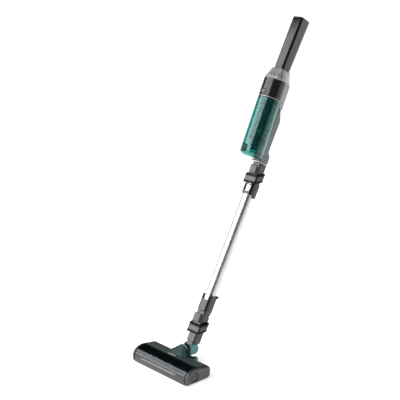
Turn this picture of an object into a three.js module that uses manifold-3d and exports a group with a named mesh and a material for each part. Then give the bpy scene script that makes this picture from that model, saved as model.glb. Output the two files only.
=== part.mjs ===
// Cordless stick vacuum: floor head, two-axis joint, wand, bin, motor body and battery handle.
// Millimetres, +Z up. The origin is on the floor under the middle of the head, +X runs along the
// head and -Y is the way the head faces. The stick leans back, as it does in use.
import * as THREE from "three";
import { mergeVertices } from "three/addons/utils/BufferGeometryUtils.js";
import { ConvexGeometry } from "three/addons/geometries/ConvexGeometry.js";
import Module from "manifold-3d";

const wasm = await Module();
wasm.setup();

// ---- Driving dimensions ----
const GAP = 0.35; // between pieces that touch
const HEAD_WIDTH = 248;
const HEAD_FRONT = -45;
const HEAD_BACK = 49.5;
const HEAD_TOP = 46;
const SOLE = 2; // height of the underside
const SHELL = 2.2; // wall of the head's covers
const CAP_LENGTH = 8; // end caps, along X
const CAP_BEVEL = 1.6;
const TOE = 4; // rounding of an end cap's lower corners, front and back
const HEEL = 15;
const INSIDE = HEAD_WIDTH / 2 - CAP_LENGTH - GAP; // half length between the end caps
const BRUSH_Y = -14;
const BRUSH_Z = 21.3;
const BRUSH_TIP = 20.9;
const STRIP_ROOT = 15; // inner radius of the bristle strips
const MOTOR_Y = 27; // brush motor's shaft
const MOTOR_Z = 20;
const NECK_Z = 43; // axis of the steering joint
const WHEEL_RADIUS = 10.5;
const WHEEL_Y = 84;
const PIVOT_Y = 82.8; // recline axis, where the stick's own frame has its origin
const PIVOT_Z = 44.6;
const RECLINE = THREE.MathUtils.degToRad(28.9);
const TUBE_RADIUS = 17.1;
const WAND_START = 117.2; // along the stick
const WAND_END = 546;
const LOWER_COUPLING = 44; // where each coupling's collar begins
const UPPER_COUPLING = 530;
const BIN_RADIUS = 36.2;
const BIN_WALL = 1.9;
const BIN_FOOT = 612; // along the stick
const BIN_AXIS = 53.2; // forward of the wand's axis, at the bin's foot
const BIN_TILT = THREE.MathUtils.degToRad(2.95);
const MOTOR_START = 181.5; // along the bin's axis
const MOTOR_END = 238;
const HANDLE_START = 888; // along the stick
const HANDLE_LENGTH = 168;
const HANDLE_AXIS = 57.4; // forward of the wand's axis, at the handle's root
const HANDLE_TILT = THREE.MathUtils.degToRad(-1.0);

// ---- Materials ----
function material(color, roughness, metalness, opacity = 1) {
  const transparent = opacity < 1;
  return new THREE.MeshStandardMaterial({ color, roughness, metalness, opacity, transparent });
}
const GREY = material(0x6f7071, 0.35, 0.1);
const DARK = material(0x17181a, 0.3, 0.0);
const BLACK = material(0x0b0b0c, 0.15, 0.0);
const TEAL = material(0x23433e, 0.35, 0.0);
const BRIGHT_TEAL = material(0x2f9a8e, 0.25, 0.0);
const SMOKE = material(0x141a22, 0.08, 0.0, 0.5);
const CLEAR_TEAL = material(0x2fa79c, 0.05, 0.0, 0.4);
const SILVER = material(0xc8cacb, 0.3, 0.7);
const STEEL = material(0xb4b6b8, 0.3, 1.0);
const ALUMINIUM = material(0xd9dadb, 0.25, 1.0);
const RUBBER = material(0x1c1c1d, 0.8, 0.0);
const BRISTLE = material(0x3a3140, 0.9, 0.0);
const COPPER = material(0xa8683a, 0.4, 0.9);
const FILTER = material(0xd8d4c8, 0.9, 0.0);
const BOARD = material(0x1f5a34, 0.6, 0.0);
const CELLS = material(0x2a63a8, 0.5, 0.0);

// ---- Solids ----
function solid(geometry) {
  const bare = geometry.clone();
  bare.deleteAttribute("normal");
  bare.deleteAttribute("uv");
  const merged = mergeVertices(bare, 1e-4);
  const vertProperties = merged.attributes.position.array;
  const triVerts = new Uint32Array(merged.index.array);
  return new wasm.Manifold(new wasm.Mesh({ numProp: 3, vertProperties, triVerts }));
}

function geometryOf(body) {
  const mesh = body.getMesh();
  const geometry = new THREE.BufferGeometry();
  geometry.setAttribute("position", new THREE.BufferAttribute(mesh.vertProperties, 3));
  geometry.setIndex(new THREE.BufferAttribute(mesh.triVerts, 1));
  geometry.computeVertexNormals();
  return geometry;
}

function join(first, ...others) {
  return others.reduce((body, other) => body.add(other), first);
}

function cut(first, ...tools) {
  return tools.reduce((body, tool) => body.subtract(tool), first);
}

// A box given by its lowest and highest corners.
function block(low, high) {
  const size = high.map((value, axis) => value - low[axis]);
  const middle = high.map((value, axis) => (value + low[axis]) / 2);
  return solid(new THREE.BoxGeometry(...size).translate(...middle));
}

// Turns a geometry built along Z so that it runs along another axis.
function alongAxis(geometry, axis) {
  if (axis === "x") return geometry.rotateY(Math.PI / 2);
  if (axis === "y") return geometry.rotateX(-Math.PI / 2);
  return geometry;
}

// A cylinder from one place to another on an axis, through the point `at`.
function rod(radius, from, to, axis = "z", at = [0, 0, 0], segments = 16) {
  const geometry = new THREE.CylinderGeometry(radius, radius, to - from, segments);
  geometry.rotateX(Math.PI / 2).translate(0, 0, (from + to) / 2);
  return solid(alongAxis(geometry, axis).translate(...at));
}

// A tube, open at both ends.
function ring(outer, inner, from, to, axis = "z", at = [0, 0, 0], segments = 20) {
  const bore = rod(inner, from - 1, to + 1, axis, at, segments);
  return cut(rod(outer, from, to, axis, at, segments), bore);
}

// A solid of revolution about Z from [radius, height] points that start and end on the axis.
function turned(profile, segments = 28) {
  const points = profile.map(([radius, height]) => new THREE.Vector2(radius, height));
  return solid(new THREE.LatheGeometry(points, segments).rotateX(Math.PI / 2));
}

function roundedRect(width, depth, radius, y = 0) {
  const shape = new THREE.Shape();
  const [w, d] = [width / 2 - radius, depth / 2 - radius];
  shape.absarc(w, y - d, radius, -Math.PI / 2, 0, false);
  shape.absarc(w, y + d, radius, 0, Math.PI / 2, false);
  shape.absarc(-w, y + d, radius, Math.PI / 2, Math.PI, false);
  shape.absarc(-w, y - d, radius, Math.PI, Math.PI * 1.5, false);
  shape.closePath();
  return shape;
}

function polygon(points) {
  return new THREE.Shape(points.map(([u, v]) => new THREE.Vector2(u, v)));
}

function prismZ(shape, from, to, curveSegments = 3) {
  const options = { depth: to - from, bevelEnabled: false, curveSegments };
  return solid(new THREE.ExtrudeGeometry(shape, options).translate(0, 0, from));
}

// Turns a shape drawn as y, z and extruded along Z so that it runs along X from a place on it.
function sidewaysFrom(x) {
  return new THREE.Matrix4().set(0, 0, 1, x, 1, 0, 0, 0, 0, 1, 0, 0, 0, 0, 0, 1);
}

// A prism along X; the shape is drawn as y, z.
function prismX(shape, from, to, curveSegments = 5) {
  const options = { depth: to - from, bevelEnabled: false, curveSegments };
  const geometry = new THREE.ExtrudeGeometry(shape, options);
  return solid(geometry.applyMatrix4(sidewaysFrom(from)));
}

// A prism along Y; the shape is drawn as x, z.
function prismY(shape, from, to, curveSegments = 5) {
  const options = { depth: to - from, bevelEnabled: false, curveSegments };
  return solid(new THREE.ExtrudeGeometry(shape, options).rotateX(Math.PI / 2).translate(0, to, 0));
}

// Points of a circle across an axis, for skins drawn round several sections.
function circle(radius, axis, [x, y, z], count = 20) {
  return Array.from({ length: count }, (_, index) => {
    const angle = (index / count) * Math.PI * 2;
    const [u, v] = [radius * Math.cos(angle), radius * Math.sin(angle)];
    if (axis === "x") return new THREE.Vector3(x, y + u, z + v);
    if (axis === "y") return new THREE.Vector3(x + u, y, z + v);
    return new THREE.Vector3(x + u, y + v, z);
  });
}

// Points of a rounded rectangle at a height.
function section(width, depth, radius, y, z, curveSegments = 3) {
  const points = roundedRect(width, depth, radius, y).getPoints(curveSegments);
  return points.map((point) => new THREE.Vector3(point.x, point.y, z));
}

// The tightest convex solid round some points.
function skin(...points) {
  return solid(new ConvexGeometry(points.flat()));
}

const vacuum = new THREE.Group();
const stick = new THREE.Group(); // z runs up the stick from the recline axis, -y is its front
stick.position.set(0, PIVOT_Y, PIVOT_Z);
stick.rotation.x = -RECLINE;
const barrel = new THREE.Group(); // z runs up the bin and the motor
barrel.position.set(0, -BIN_AXIS, BIN_FOOT);
barrel.rotation.x = BIN_TILT;
const handle = new THREE.Group(); // z runs up the handle
handle.position.set(0, -HANDLE_AXIS, HANDLE_START);
handle.rotation.x = HANDLE_TILT;
vacuum.add(stick);
stick.add(barrel, handle);

function place(group, name, body, look) {
  const mesh = new THREE.Mesh(geometryOf(body), look);
  mesh.name = name;
  group.add(mesh);
}

// ---- Floor head ----
// The head's section, across X: upright front, an elliptical crest over the brush, a deck that
// falls gently to the back and a rounded rear edge. It is open below so that two of them, one
// inside the other, leave a cover with no floor.
function headSection(inset, bottom) {
  const [front, back, top] = [HEAD_FRONT + inset, HEAD_BACK - inset, HEAD_TOP - inset];
  const [crestY, springZ] = [-8, 20];
  const shape = new THREE.Shape();
  shape.moveTo(front, bottom);
  shape.lineTo(front, springZ);
  shape.absellipse(crestY, springZ, crestY - front, top - springZ, Math.PI, Math.PI / 2, true);
  shape.bezierCurveTo(4, top, 12, top - 2.2, 22, top - 4.2);
  shape.lineTo(40, top - 6.4);
  shape.bezierCurveTo(back - 3, top - 7.5, back, top - 12, back, top - 20);
  shape.lineTo(back, bottom);
  shape.closePath();
  return shape;
}

function headShell(inset, thickness, halfLength = INSIDE) {
  const outside = prismX(headSection(inset, SOLE), -halfLength, halfLength);
  const inside = prismX(headSection(inset + thickness, -10), -halfLength - 1, halfLength + 1);
  return cut(outside, inside);
}

const WINDOW_SILL = 33; // height where the window meets the bumper
const SKIRT_TOP = 15; // height of the base's rear skirt
const SLOT_HALF = 105; // half length of the suction slot
const RIB_BAND = [[-88, 22.5], [-82, 15.5], [70, 15.5], [79, 29.5], [-60, 24]];
const RIB_POCKET = [[-89, 22.8], [-82.5, 15], [70.4, 15], [79.9, 30], [-60, 24.6]];

function buildHeadCovers() {
  const shell = headShell(0, SHELL);
  const far = 200;
  const pocket = cut(prismY(polygon(RIB_POCKET), -60, -30), prismX(headSection(1.3, -10), -far, far));
  const bumperZone = block([-far, -60, SOLE - 1], [far, -30, WINDOW_SILL]);
  place(vacuum, "front_bumper", cut(shell.intersect(bumperZone), pocket), GREY);
  const ribs = headShell(0, 1).intersect(prismY(polygon(RIB_BAND), -60, -30));
  place(vacuum, "ribbed_insert", ribs, SILVER);
  const windowZone = block([-far, -60, WINDOW_SILL + GAP], [far, 0, 60]);
  place(vacuum, "brush_window", shell.intersect(windowZone), SMOKE);

  const deckZone = block([-far, GAP, SKIRT_TOP + GAP], [far, 60, 60]);
  const flange = circle(21.5, "y", [0, 52, NECK_Z], 24);
  const foot = [[-46, 47, 36], [46, 47, 36], [-30, 16, 40], [30, 16, 40]];
  const hump = skin(flange, foot.map((point) => new THREE.Vector3(...point)));
  const inside = prismX(headSection(SHELL, -10), -INSIDE, INSIDE);
  const bore = rod(15.4, 45, 60, "y", [0, 0, NECK_Z], 32);
  const duct = skin(circle(13.5, "y", [0, 46, NECK_Z]), circle(10, "y", [0, 20, 26]));
  const deck = cut(join(shell.intersect(deckZone), cut(hump, inside)), bore, duct);
  place(vacuum, "rear_deck", deck, TEAL);
  place(vacuum, "neck_trim_ring", ring(21.8, 15.8, 52 + GAP, 53.8, "y", [0, 0, NECK_Z]), SILVER);
  const latchZone = block([-14, 5, 30], [16, 10, 60]);
  place(vacuum, "window_latch", headShell(-2.2, 1.8).intersect(latchZone), SILVER);
}

function buildHeadBase() {
  const skirtZone = block([-200, 36, 0], [200, 60, SKIRT_TOP]);
  const plate = block([-INSIDE, -42.4, SOLE], [INSIDE, 48.5, 5]);
  const midWall = block([-102, 9.6, SOLE], [INSIDE, 11.6, 36]);
  const sideWall = block([INSIDE - 2.4, 9.6, SOLE], [INSIDE, 44, 30]);
  const arm = block([-10.5, 44, 4], [10.5, 90, 14]);
  const body = join(headShell(0, SHELL).intersect(skirtZone), plate, midWall, sideWall, arm);
  const slot = block([-SLOT_HALF, -33, 0], [SLOT_HALF, 1, 8]);
  const belt = block([-INSIDE + 1, -32, 5], [-SLOT_HALF - 0.5, 9, 8]);
  const port = block([-18, 8, 12], [18, 13, 32]);
  const rollerWells = [-90, 90].map((x) => block([x - 6, -41, 0], [x + 6, -28, 8]));
  const axleHole = rod(2.3, -30, 30, "x", [0, WHEEL_Y, WHEEL_RADIUS]);
  place(vacuum, "head_base", cut(body, slot, belt, port, ...rollerWells, axleHole), DARK);
}

const LOCK_RADIUS = 15.2;

// A box's outline in y, z with the end caps' rounded lower corners.
function capCorners() {
  const shape = new THREE.Shape();
  shape.moveTo(HEAD_FRONT, HEAD_TOP + 1);
  shape.lineTo(HEAD_FRONT, SOLE + TOE);
  shape.absarc(HEAD_FRONT + TOE, SOLE + TOE, TOE, Math.PI, Math.PI * 1.5, false);
  shape.absarc(HEAD_BACK - HEEL, SOLE + HEEL, HEEL, Math.PI * 1.5, Math.PI * 2, false);
  shape.lineTo(HEAD_BACK, HEAD_TOP + 1);
  shape.closePath();
  return shape;
}

function buildEndCaps() {
  const at = [0, BRUSH_Y, BRUSH_Z];
  for (const side of [-1, 1]) {
    const length = CAP_LENGTH - 2 * CAP_BEVEL;
    const options = { depth: length, bevelThickness: CAP_BEVEL, bevelSize: CAP_BEVEL };
    Object.assign(options, { bevelSegments: 1, curveSegments: 5 });
    const outline = headSection(CAP_BEVEL, SOLE + CAP_BEVEL);
    const geometry = new THREE.ExtrudeGeometry(outline, options);
    const middle = side * (HEAD_WIDTH / 2 - CAP_LENGTH / 2);
    geometry.applyMatrix4(sidewaysFrom(middle - length / 2));
    const cap = solid(geometry).intersect(prismX(capCorners(), -HEAD_WIDTH, HEAD_WIDTH));
    if (side < 0) {
      const bore = rod(3.6, -119, -110, "x", at);
      const hub = ring(6, 3.6, -119, -113, "x", at);
      place(vacuum, "end_cap_left", join(cut(cap, bore), hub), GREY);
    } else {
      const seat = rod(LOCK_RADIUS + GAP, 110, 130, "x", at, 24);
      place(vacuum, "end_cap_right", cut(cap, seat), GREY);
    }
  }
}

function buildBrushLock() {
  const at = [0, BRUSH_Y, BRUSH_Z];
  const disc = rod(LOCK_RADIUS, 114, 122.6, "x", at, 24);
  const grip = block([122, BRUSH_Y - 11, BRUSH_Z - 1.6], [124, BRUSH_Y + 11, BRUSH_Z + 1.6]);
  const socket = rod(4.3, 113, 119, "x", at);
  place(vacuum, "brush_lock", cut(join(disc, grip), socket), GREY);
}

// A strip wound round the brush: a flat bar twisted about X.
function bristleStrip(start) {
  const [length, steps, turn] = [200, 12, Math.PI * 1.4];
  const bar = new THREE.BoxGeometry(length, 3.2, BRUSH_TIP - STRIP_ROOT, steps, 1, 1);
  bar.translate(0, 0, (BRUSH_TIP + STRIP_ROOT) / 2);
  const places = bar.attributes.position;
  const point = new THREE.Vector3();
  const axis = new THREE.Vector3(1, 0, 0);
  for (let index = 0; index < places.count; index++) {
    point.fromBufferAttribute(places, index);
    point.applyAxisAngle(axis, start + (point.x / length) * turn);
    places.setXYZ(index, point.x, point.y, point.z);
  }
  return solid(bar.translate(0, BRUSH_Y, BRUSH_Z));
}

const PULLEY_BRUSH = 11; // radii of the belt's pulleys
const PULLEY_MOTOR = 4.6;

function buildBrush() {
  const at = [0, BRUSH_Y, BRUSH_Z];
  const roller = rod(14, -103.5, 103.5, "x", at);
  const [axleRight, axleLeft] = [rod(4, -104, 117.5, "x", at), rod(3.2, -118.5, -103, "x", at)];
  place(vacuum, "brush_core", join(roller, axleRight, axleLeft), BRIGHT_TEAL);
  place(vacuum, "bristle_strip_a", bristleStrip(0), BRISTLE);
  place(vacuum, "bristle_strip_b", bristleStrip(Math.PI), BRISTLE);
  const bore = rod(3.55, -119, -104, "x", at);
  place(vacuum, "brush_pulley", cut(rod(PULLEY_BRUSH, -112, -104.3, "x", at), bore), DARK);
  place(vacuum, "brush_bearing_right", ring(8.5, 4.35, 106.5, 112.5, "x", at, 24), STEEL);
}

function buildBrushDrive() {
  const at = [0, MOTOR_Y, MOTOR_Z];
  const body = join(rod(12, -96, -52, "x", at), rod(5, -99, -96, "x", at));
  place(vacuum, "brush_motor", cut(body, rod(1.8, -100, -60, "x", at)), STEEL);
  const pulley = rod(PULLEY_MOTOR, -112, -104.3, "x", at);
  place(vacuum, "motor_pulley", join(pulley, rod(1.5, -104.4, -62, "x", at)), BRIGHT_TEAL);
  const pulleys = [[BRUSH_Y, BRUSH_Z, PULLEY_BRUSH], [MOTOR_Y, MOTOR_Z, PULLEY_MOTOR]];
  const band = (extra, from, to) => {
    const rounds = pulleys.map(([y, z, radius]) => circle(radius + extra, "x", [0, y, z], 24));
    const ends = [from, to].map((x) => rounds.flat().map((p) => new THREE.Vector3(x, p.y, p.z)));
    return skin(...ends);
  };
  place(vacuum, "drive_belt", cut(band(1.9, -111, -105.3), band(0.4, -112, -104)), RUBBER);
}

function buildWheels() {
  const at = [0, WHEEL_Y, WHEEL_RADIUS];
  place(vacuum, "rear_axle", rod(1.95, -21.4, 21.4, "x", at), STEEL);
  place(vacuum, "rear_wheel_left", ring(WHEEL_RADIUS, 2.3, -21, -13, "x", at, 24), GREY);
  place(vacuum, "rear_wheel_right", ring(WHEEL_RADIUS, 2.3, 13, 21, "x", at, 24), GREY);
  const radius = 4.5;
  for (const [name, x] of [["front_roller_left", -90], ["front_roller_right", 90]])
    place(vacuum, name, rod(radius, x - 5.3, x + 5.3, "x", [0, -35.2, radius], 20), RUBBER);
}

// ---- Steering elbow ----
function buildElbow() {
  const neck = [0, 0, NECK_Z];
  const pivot = [0, PIVOT_Y, PIVOT_Z];
  const cheeks = [-20, 20].map((x) => circle(15.5, "x", [x, PIVOT_Y, PIVOT_Z], 24));
  const pod = skin(circle(18.5, "y", [0, 61.4, NECK_Z], 24), ...cheeks);
  const spigot = rod(15, 46, 62, "y", neck, 32);
  const fork = block([-13.2, 68.2, 0], [13.2, 110, 90]);
  const bore = rod(12.3, 40, 75, "y", neck);
  const pinHole = rod(3.4, -30, 30, "x", pivot);
  place(vacuum, "steering_elbow", cut(join(pod, spigot), fork, bore, pinHole), BRIGHT_TEAL);
  place(vacuum, "swivel_collar", ring(20.3, 15.35, 54.2, 61.4 - GAP, "y", neck), DARK);
  place(vacuum, "recline_pin", rod(3.05, -19.4, 19.4, "x", pivot), STEEL);
}

// ---- Stick: neck, couplings and wand ----
function buildNeck() {
  const drum = rod(13.9, -12.8, 12.8, "x", [0, 0, 0], 28);
  const root = skin(section(25.6, 24, 4, 0, 0), section(25.6, 26, 5, 0.5, 19));
  const body = prismZ(roundedRect(34, 32, 6, 1), 19, 61);
  const spigot = prismZ(roundedRect(28, 26, 5, 1), 60, 100);
  const bore = rod(9.5, 0, 110, "z", [0, 1, 0]);
  const inlet = rod(9.5, -20, 2, "y");
  const pinHole = rod(3.4, -30, 30, "x");
  place(stick, "neck_pipe", cut(join(drum, root, body, spigot), bore, inlet, pinHole), GREY);
}

const COLLAR_TOP = 28; // height of a coupling's slanted collar at its front
const BUTTON_FRONT = -25;
const BUTTON_BACK = -18.4;

// The slanted collar of a coupling, from its lowest front edge up.
function slantedCollar(base, rise) {
  const [front, back] = [-20.5, 16];
  const profile = [[front, base], [back, base + rise], [back, base + rise + COLLAR_TOP]];
  profile.push([front, base + COLLAR_TOP + 1]);
  const across = prismZ(roundedRect(53, back - front, 7, (back + front) / 2), base - 1, base + 80);
  return prismX(polygon(profile), -40, 40).intersect(across);
}

function pressButton(from, to, front, half) {
  const profile = [[BUTTON_BACK, from], [BUTTON_BACK, to], [front + 1.5, to + 3]];
  profile.push([front, to], [front, from]);
  return prismX(polygon(profile), -half, half);
}

// A leaf spring behind a button: a bowed strip.
function leafSpring(middle, y, span) {
  const shape = new THREE.Shape();
  shape.moveTo(y, middle - span / 2);
  shape.quadraticCurveTo(y - 3.4, middle, y, middle + span / 2);
  shape.lineTo(y + 0.6, middle + span / 2);
  shape.quadraticCurveTo(y - 2.8, middle, y + 0.6, middle - span / 2);
  shape.closePath();
  return prismX(shape, -4, 4, 4);
}

function buildLowerCoupling() {
  const collar = slantedCollar(LOWER_COUPLING, 18);
  const waist = prismZ(roundedRect(34, 31, 5, 0.5), 70, 116.6);
  const neckRoom = prismZ(roundedRect(34.8, 32.8, 6, 1), 30, 61.6);
  const spigotSize = roundedRect(28.8, 26.8, 5, 1);
  const spigotRoom = prismZ(spigotSize, 60, 100.6);
  const pocket = cut(block([-12.9, -30, 79], [12.9, -13.4, 111]), prismZ(spigotSize, 60, 130));
  const duct = rod(12, 60, 130, "z", [0, 1, 0]);
  const housing = cut(join(collar, waist), neckRoom, spigotRoom, duct, pocket);
  place(stick, "lower_coupling", housing, GREY);
  place(stick, "lower_release_button", pressButton(79.8, 107, BUTTON_FRONT, 12.4), GREY);
  place(stick, "lower_button_spring", leafSpring(95, -14.4, 20), STEEL);
  const sleeve = prismZ(roundedRect(40, 38, 12, 0), 117, 170);
  const tubeRoom = rod(TUBE_RADIUS + GAP, 100, 200, "z", [0, 0, 0], 32);
  const mouth = block([-30, -40, 155], [30, -6, 180]);
  place(stick, "wand_sleeve", cut(sleeve, tubeRoom, mouth), DARK);
}

function buildWand() {
  const tube = ring(TUBE_RADIUS, TUBE_RADIUS - 1.2, WAND_START, WAND_END, "z", [0, 0, 0], 28);
  place(stick, "wand_tube", tube, ALUMINIUM);
  const underCollar = [[-20.5, 490], [20.5, 490], [20.5, 549.6], [-20.5, 530.5]];
  const zone = prismX(polygon(underCollar), -30, 30);
  const outside = prismZ(roundedRect(40, 36, 13, 0), 497, 560).intersect(zone);
  const tubeRoom = rod(TUBE_RADIUS + GAP, 480, 570, "z", [0, 0, 0], 28);
  const windowCut = block([-15, -40, 507], [15, -5, 541]);
  const tongue = prismX(roundedRect(14, 44, 5, 512), 17.6, 20).translate([0, 5, 0]);
  place(stick, "wand_top_sleeve", cut(join(outside, tongue), tubeRoom, windowCut), DARK);
}

function buildUpperCoupling() {
  const collar = slantedCollar(UPPER_COUPLING + 1, 17);
  const waist = prismZ(roundedRect(34, 31, 5, 0.5), 556, 600);
  const pocket = block([-12.9, -30, 563.5], [12.9, -14.6, 596]);
  const tubeRoom = rod(TUBE_RADIUS + GAP, 520, 548, "z", [0, 0, 0], 28);
  const duct = rod(11.5, 540, 610, "z", [0, 1, 0]);
  place(stick, "upper_coupling", cut(join(collar, waist), tubeRoom, duct, pocket), GREY);
  place(stick, "upper_release_button", pressButton(564.4, 591, -23.4, 12.4), GREY);
  place(stick, "upper_button_spring", leafSpring(578, -15.3, 20), STEEL);
}

// ---- Rear body, bin and motor ----
const BARREL_TO_STICK = new THREE.Matrix4().makeRotationX(BIN_TILT);
BARREL_TO_STICK.setPosition(0, -BIN_AXIS, BIN_FOOT);

function buildInletPlate() {
  const plate = prismZ(roundedRect(40, 40, 6, -5.2), 600.4, 603.6);
  place(stick, "inlet_plate", cut(plate, rod(11.5, 590, 610)), SILVER);
}

// The duct behind the bin, which widens above into the back of the motor body.
function buildRearBody() {
  const profile = [[-24, 604], [14.5, 604], [12.5, 631], [4, 637], [0, 643], [0, 746]];
  profile.push([-14, 772], [-14, 790], [-24, 790]);
  const seat = prismZ(roundedRect(36, 38, 6, -5), 600.4, 605);
  const spine = cut(prismX(polygon(profile), -18, 18), seat);
  const inStick = (body) => solid(geometryOf(body).applyMatrix4(BARREL_TO_STICK));
  const rounds = [MOTOR_START - 20, MOTOR_END].map((z) => circle(BIN_RADIUS, "z", [0, 0, z], 32));
  const backs = [MOTOR_START - 15, MOTOR_END].map((z) => section(40, 10, 4, 45, z));
  const upper = skin(...rounds, ...backs);
  const binRoom = rod(BIN_RADIUS + 0.8, -20, MOTOR_START - 0.4, "z", [0, 0, 0], 32);
  const frontRoom = block([-60, -60, MOTOR_START - 60], [60, 6, MOTOR_END + 20]);
  const motorRoom = rod(BIN_RADIUS - 3, MOTOR_START - 1, MOTOR_END + 1, "z", [0, 0, 0], 32);
  const hingeRoom = block([-10.4, 30, -20], [10.4, 42.6, 14]);
  const rooms = [binRoom, frontRoom, motorRoom, hingeRoom].map(inStick);
  const joined = cut(join(spine, inStick(upper)), ...rooms);
  const duct = skin(section(22, 18, 5, 1, 598), section(22, 9, 3, -8, 640), section(22, 9, 3, -9, 700));
  const riser = skin(section(22, 9, 3, -9, 699), section(22, 9, 3, -11, 752));
  place(stick, "rear_body", cut(joined, duct, riser), GREY);
}

const HINGE_Y = 38.8; // the bin lid's hinge, behind the bin at its foot
const HINGE_Z = 2;

function buildBin() {
  const top = 181;
  const knuckle = (from, to, radius = 3) => rod(radius, from, to, "x", [0, HINGE_Y, HINGE_Z], 16);
  const bore = BIN_RADIUS - BIN_WALL;
  const outer = [[bore, 5.3], [BIN_RADIUS, 5.3], [BIN_RADIUS, top], [27, top]];
  const wall = turned([...outer, [27, top - 2.5], [bore, top - 2.5], [bore, 5.3]], 32);
  const lugs = [-1, 1].flatMap((side) => {
    const [near, far] = [5.4, 9.6].map((x) => x * side).sort((a, b) => a - b);
    const web = block([near, 34.9, HINGE_Z], [far, 41, 13]);
    return [join(knuckle(near, far), web)];
  });
  const pinBore = knuckle(-20, 20, 1.5);
  const inlet = block([-10, 20, 134], [10, 50, 166]);
  const ears = [-1, 1].map((side) => {
    const [near, far] = [6.9, 9].map((x) => x * side).sort((a, b) => a - b);
    return block([near, -41, 11], [far, -34.6, 17]);
  });
  const bridge = block([-9, -37, 11], [9, -35, 17]);
  place(barrel, "dust_bin", cut(join(wall, ...lugs, ...ears, bridge), inlet, pinBore), CLEAR_TEAL);
  place(barrel, "lid_hinge_pin", knuckle(-9.4, 9.4, 1.15), STEEL);

  const bowl = [[0, -8], [19, -8], [31, -4], [BIN_RADIUS, 2.5], [BIN_RADIUS, 5]];
  const hollow = [[33.4, 5], [33.4, 3], [30, -1.6], [18, -5.6], [0, -5.6]];
  const lugRoom = [-1, 1].map((side) => block([7.5 * side - 2.5, 34, -9], [7.5 * side + 2.5, 45, 9]));
  const lug = join(knuckle(-5, 5), block([-5, 33.8, 1], [5, HINGE_Y, 5]));
  const lid = join(turned([...bowl, ...hollow], 32), cut(lug, rod(33.7, -20, 20)));
  place(barrel, "bin_lid", cut(lid, ...lugRoom, pinBore), CLEAR_TEAL);
  place(barrel, "lid_seal", ring(BIN_RADIUS - BIN_WALL - GAP, 31.6, 5.35, 8), RUBBER);

  const hook = [[-38, -1], [-40.6, -1], [-41.2, 14], [-40, 25], [-38.4, 25], [-37.6, 14]];
  const pivot = rod(1.5, -20, 20, "x", [0, -39.3, 14], 12);
  place(barrel, "lid_latch", cut(prismX(polygon(hook), -6.5, 6.5), pivot), DARK);
}

function pleats(outer, inner, count) {
  const points = Array.from({ length: count * 2 }, (_, index) => {
    const angle = (index / count) * Math.PI;
    const radius = index % 2 ? inner : outer;
    return [radius * Math.cos(angle), radius * Math.sin(angle)];
  });
  return polygon(points);
}

function buildCyclone() {
  const shroud = [[19.4, 58], [21, 58], [21, 175], [30, 175], [30, 177.8], [19.4, 177.8], [19.4, 58]];
  place(barrel, "cyclone_shroud", turned(shroud), DARK);
  const cone = [[0, 16], [9, 16], [19, 57.6], [17.6, 57.6], [7.6, 18], [0, 18]];
  place(barrel, "cyclone_cone", turned(cone, 28), DARK);
  const paper = prismZ(pleats(18.6, 14.5, 18), 100, 170);
  place(barrel, "pleated_filter", cut(paper, rod(11, 90, 180)), FILTER);
}

function buildMotorBody() {
  const [from, to] = [MOTOR_START + GAP, MOTOR_END];
  const outside = rod(BIN_RADIUS, from, to, "z", [0, 0, 0], 32);
  const room = rod(BIN_RADIUS - 2.4, from + 2.4, to + 1, "z", [0, 0, 0], 32);
  const behind = block([-60, 6 - GAP, from - 1], [60, 60, to + 1]);
  const air = rod(14, from - 1, from + 5);
  const buttonHole = block([-7.4, -50, 187], [7.4, -20, 201]);
  place(barrel, "motor_housing", cut(outside, room, behind, air, buttonHole), BLACK);
  place(barrel, "bin_release_button", block([-7, -38.4, 187.4], [7, -33, 200.6]), GREY);

  place(barrel, "suction_motor", join(rod(23, 206, 232, "z", [0, 0, 0], 28), rod(9, 231, 236)), STEEL);
  const blades = Array.from({ length: 7 }, (_, index) => {
    const blade = new THREE.BoxGeometry(14, 1.6, 8).rotateZ(0.5).translate(13, 0, 195);
    return solid(blade.rotateZ((index / 7) * Math.PI * 2));
  });
  place(barrel, "fan", join(rod(22, 198, 200.2), rod(6, 190, 205.4), ...blades), SILVER);
  place(barrel, "motor_mount", ring(32.4, 23.4, 216, 221), RUBBER);
}

function buildShoulder() {
  const [topY, topZ] = [-57.6, HANDLE_START - 0.5];
  const bottom = (inset, lift) => {
    const round = circle(BIN_RADIUS + 0.4 - inset, "z", [0, 0, MOTOR_END + lift], 32);
    const back = section(40 - 2 * inset, 10 - inset, 4, 45 - inset, MOTOR_END + lift);
    return [...round, ...back].map((point) => point.applyMatrix4(BARREL_TO_STICK));
  };
  const top = (inset, lift) => section(48 - 2 * inset, 50 - 2 * inset, 14 - inset, topY, topZ + lift, 4);
  const outside = skin(bottom(0, GAP), top(0, 0));
  const inside = skin(bottom(2.4, -1), top(2.4, -2.6));
  const wayUp = prismZ(roundedRect(30, 34, 6, topY), topZ - 6, topZ + 1);
  const slots = Array.from({ length: 8 }, (_, index) => {
    const slot = new THREE.BoxGeometry(40, 2.2, 9).translate(44, 0, 0).rotateY(0.12);
    return solid(slot.rotateZ(-Math.PI * (0.5 + (index - 3.5) / 6)).translate(0, topY - 4, 866));
  });
  place(stick, "vent_shoulder", cut(outside, inside, wayUp, ...slots), SILVER);
  place(stick, "exhaust_filter", ring(23, 14, 856, 867, "z", [0, topY - 4, 0], 28), FILTER);
}

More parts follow.
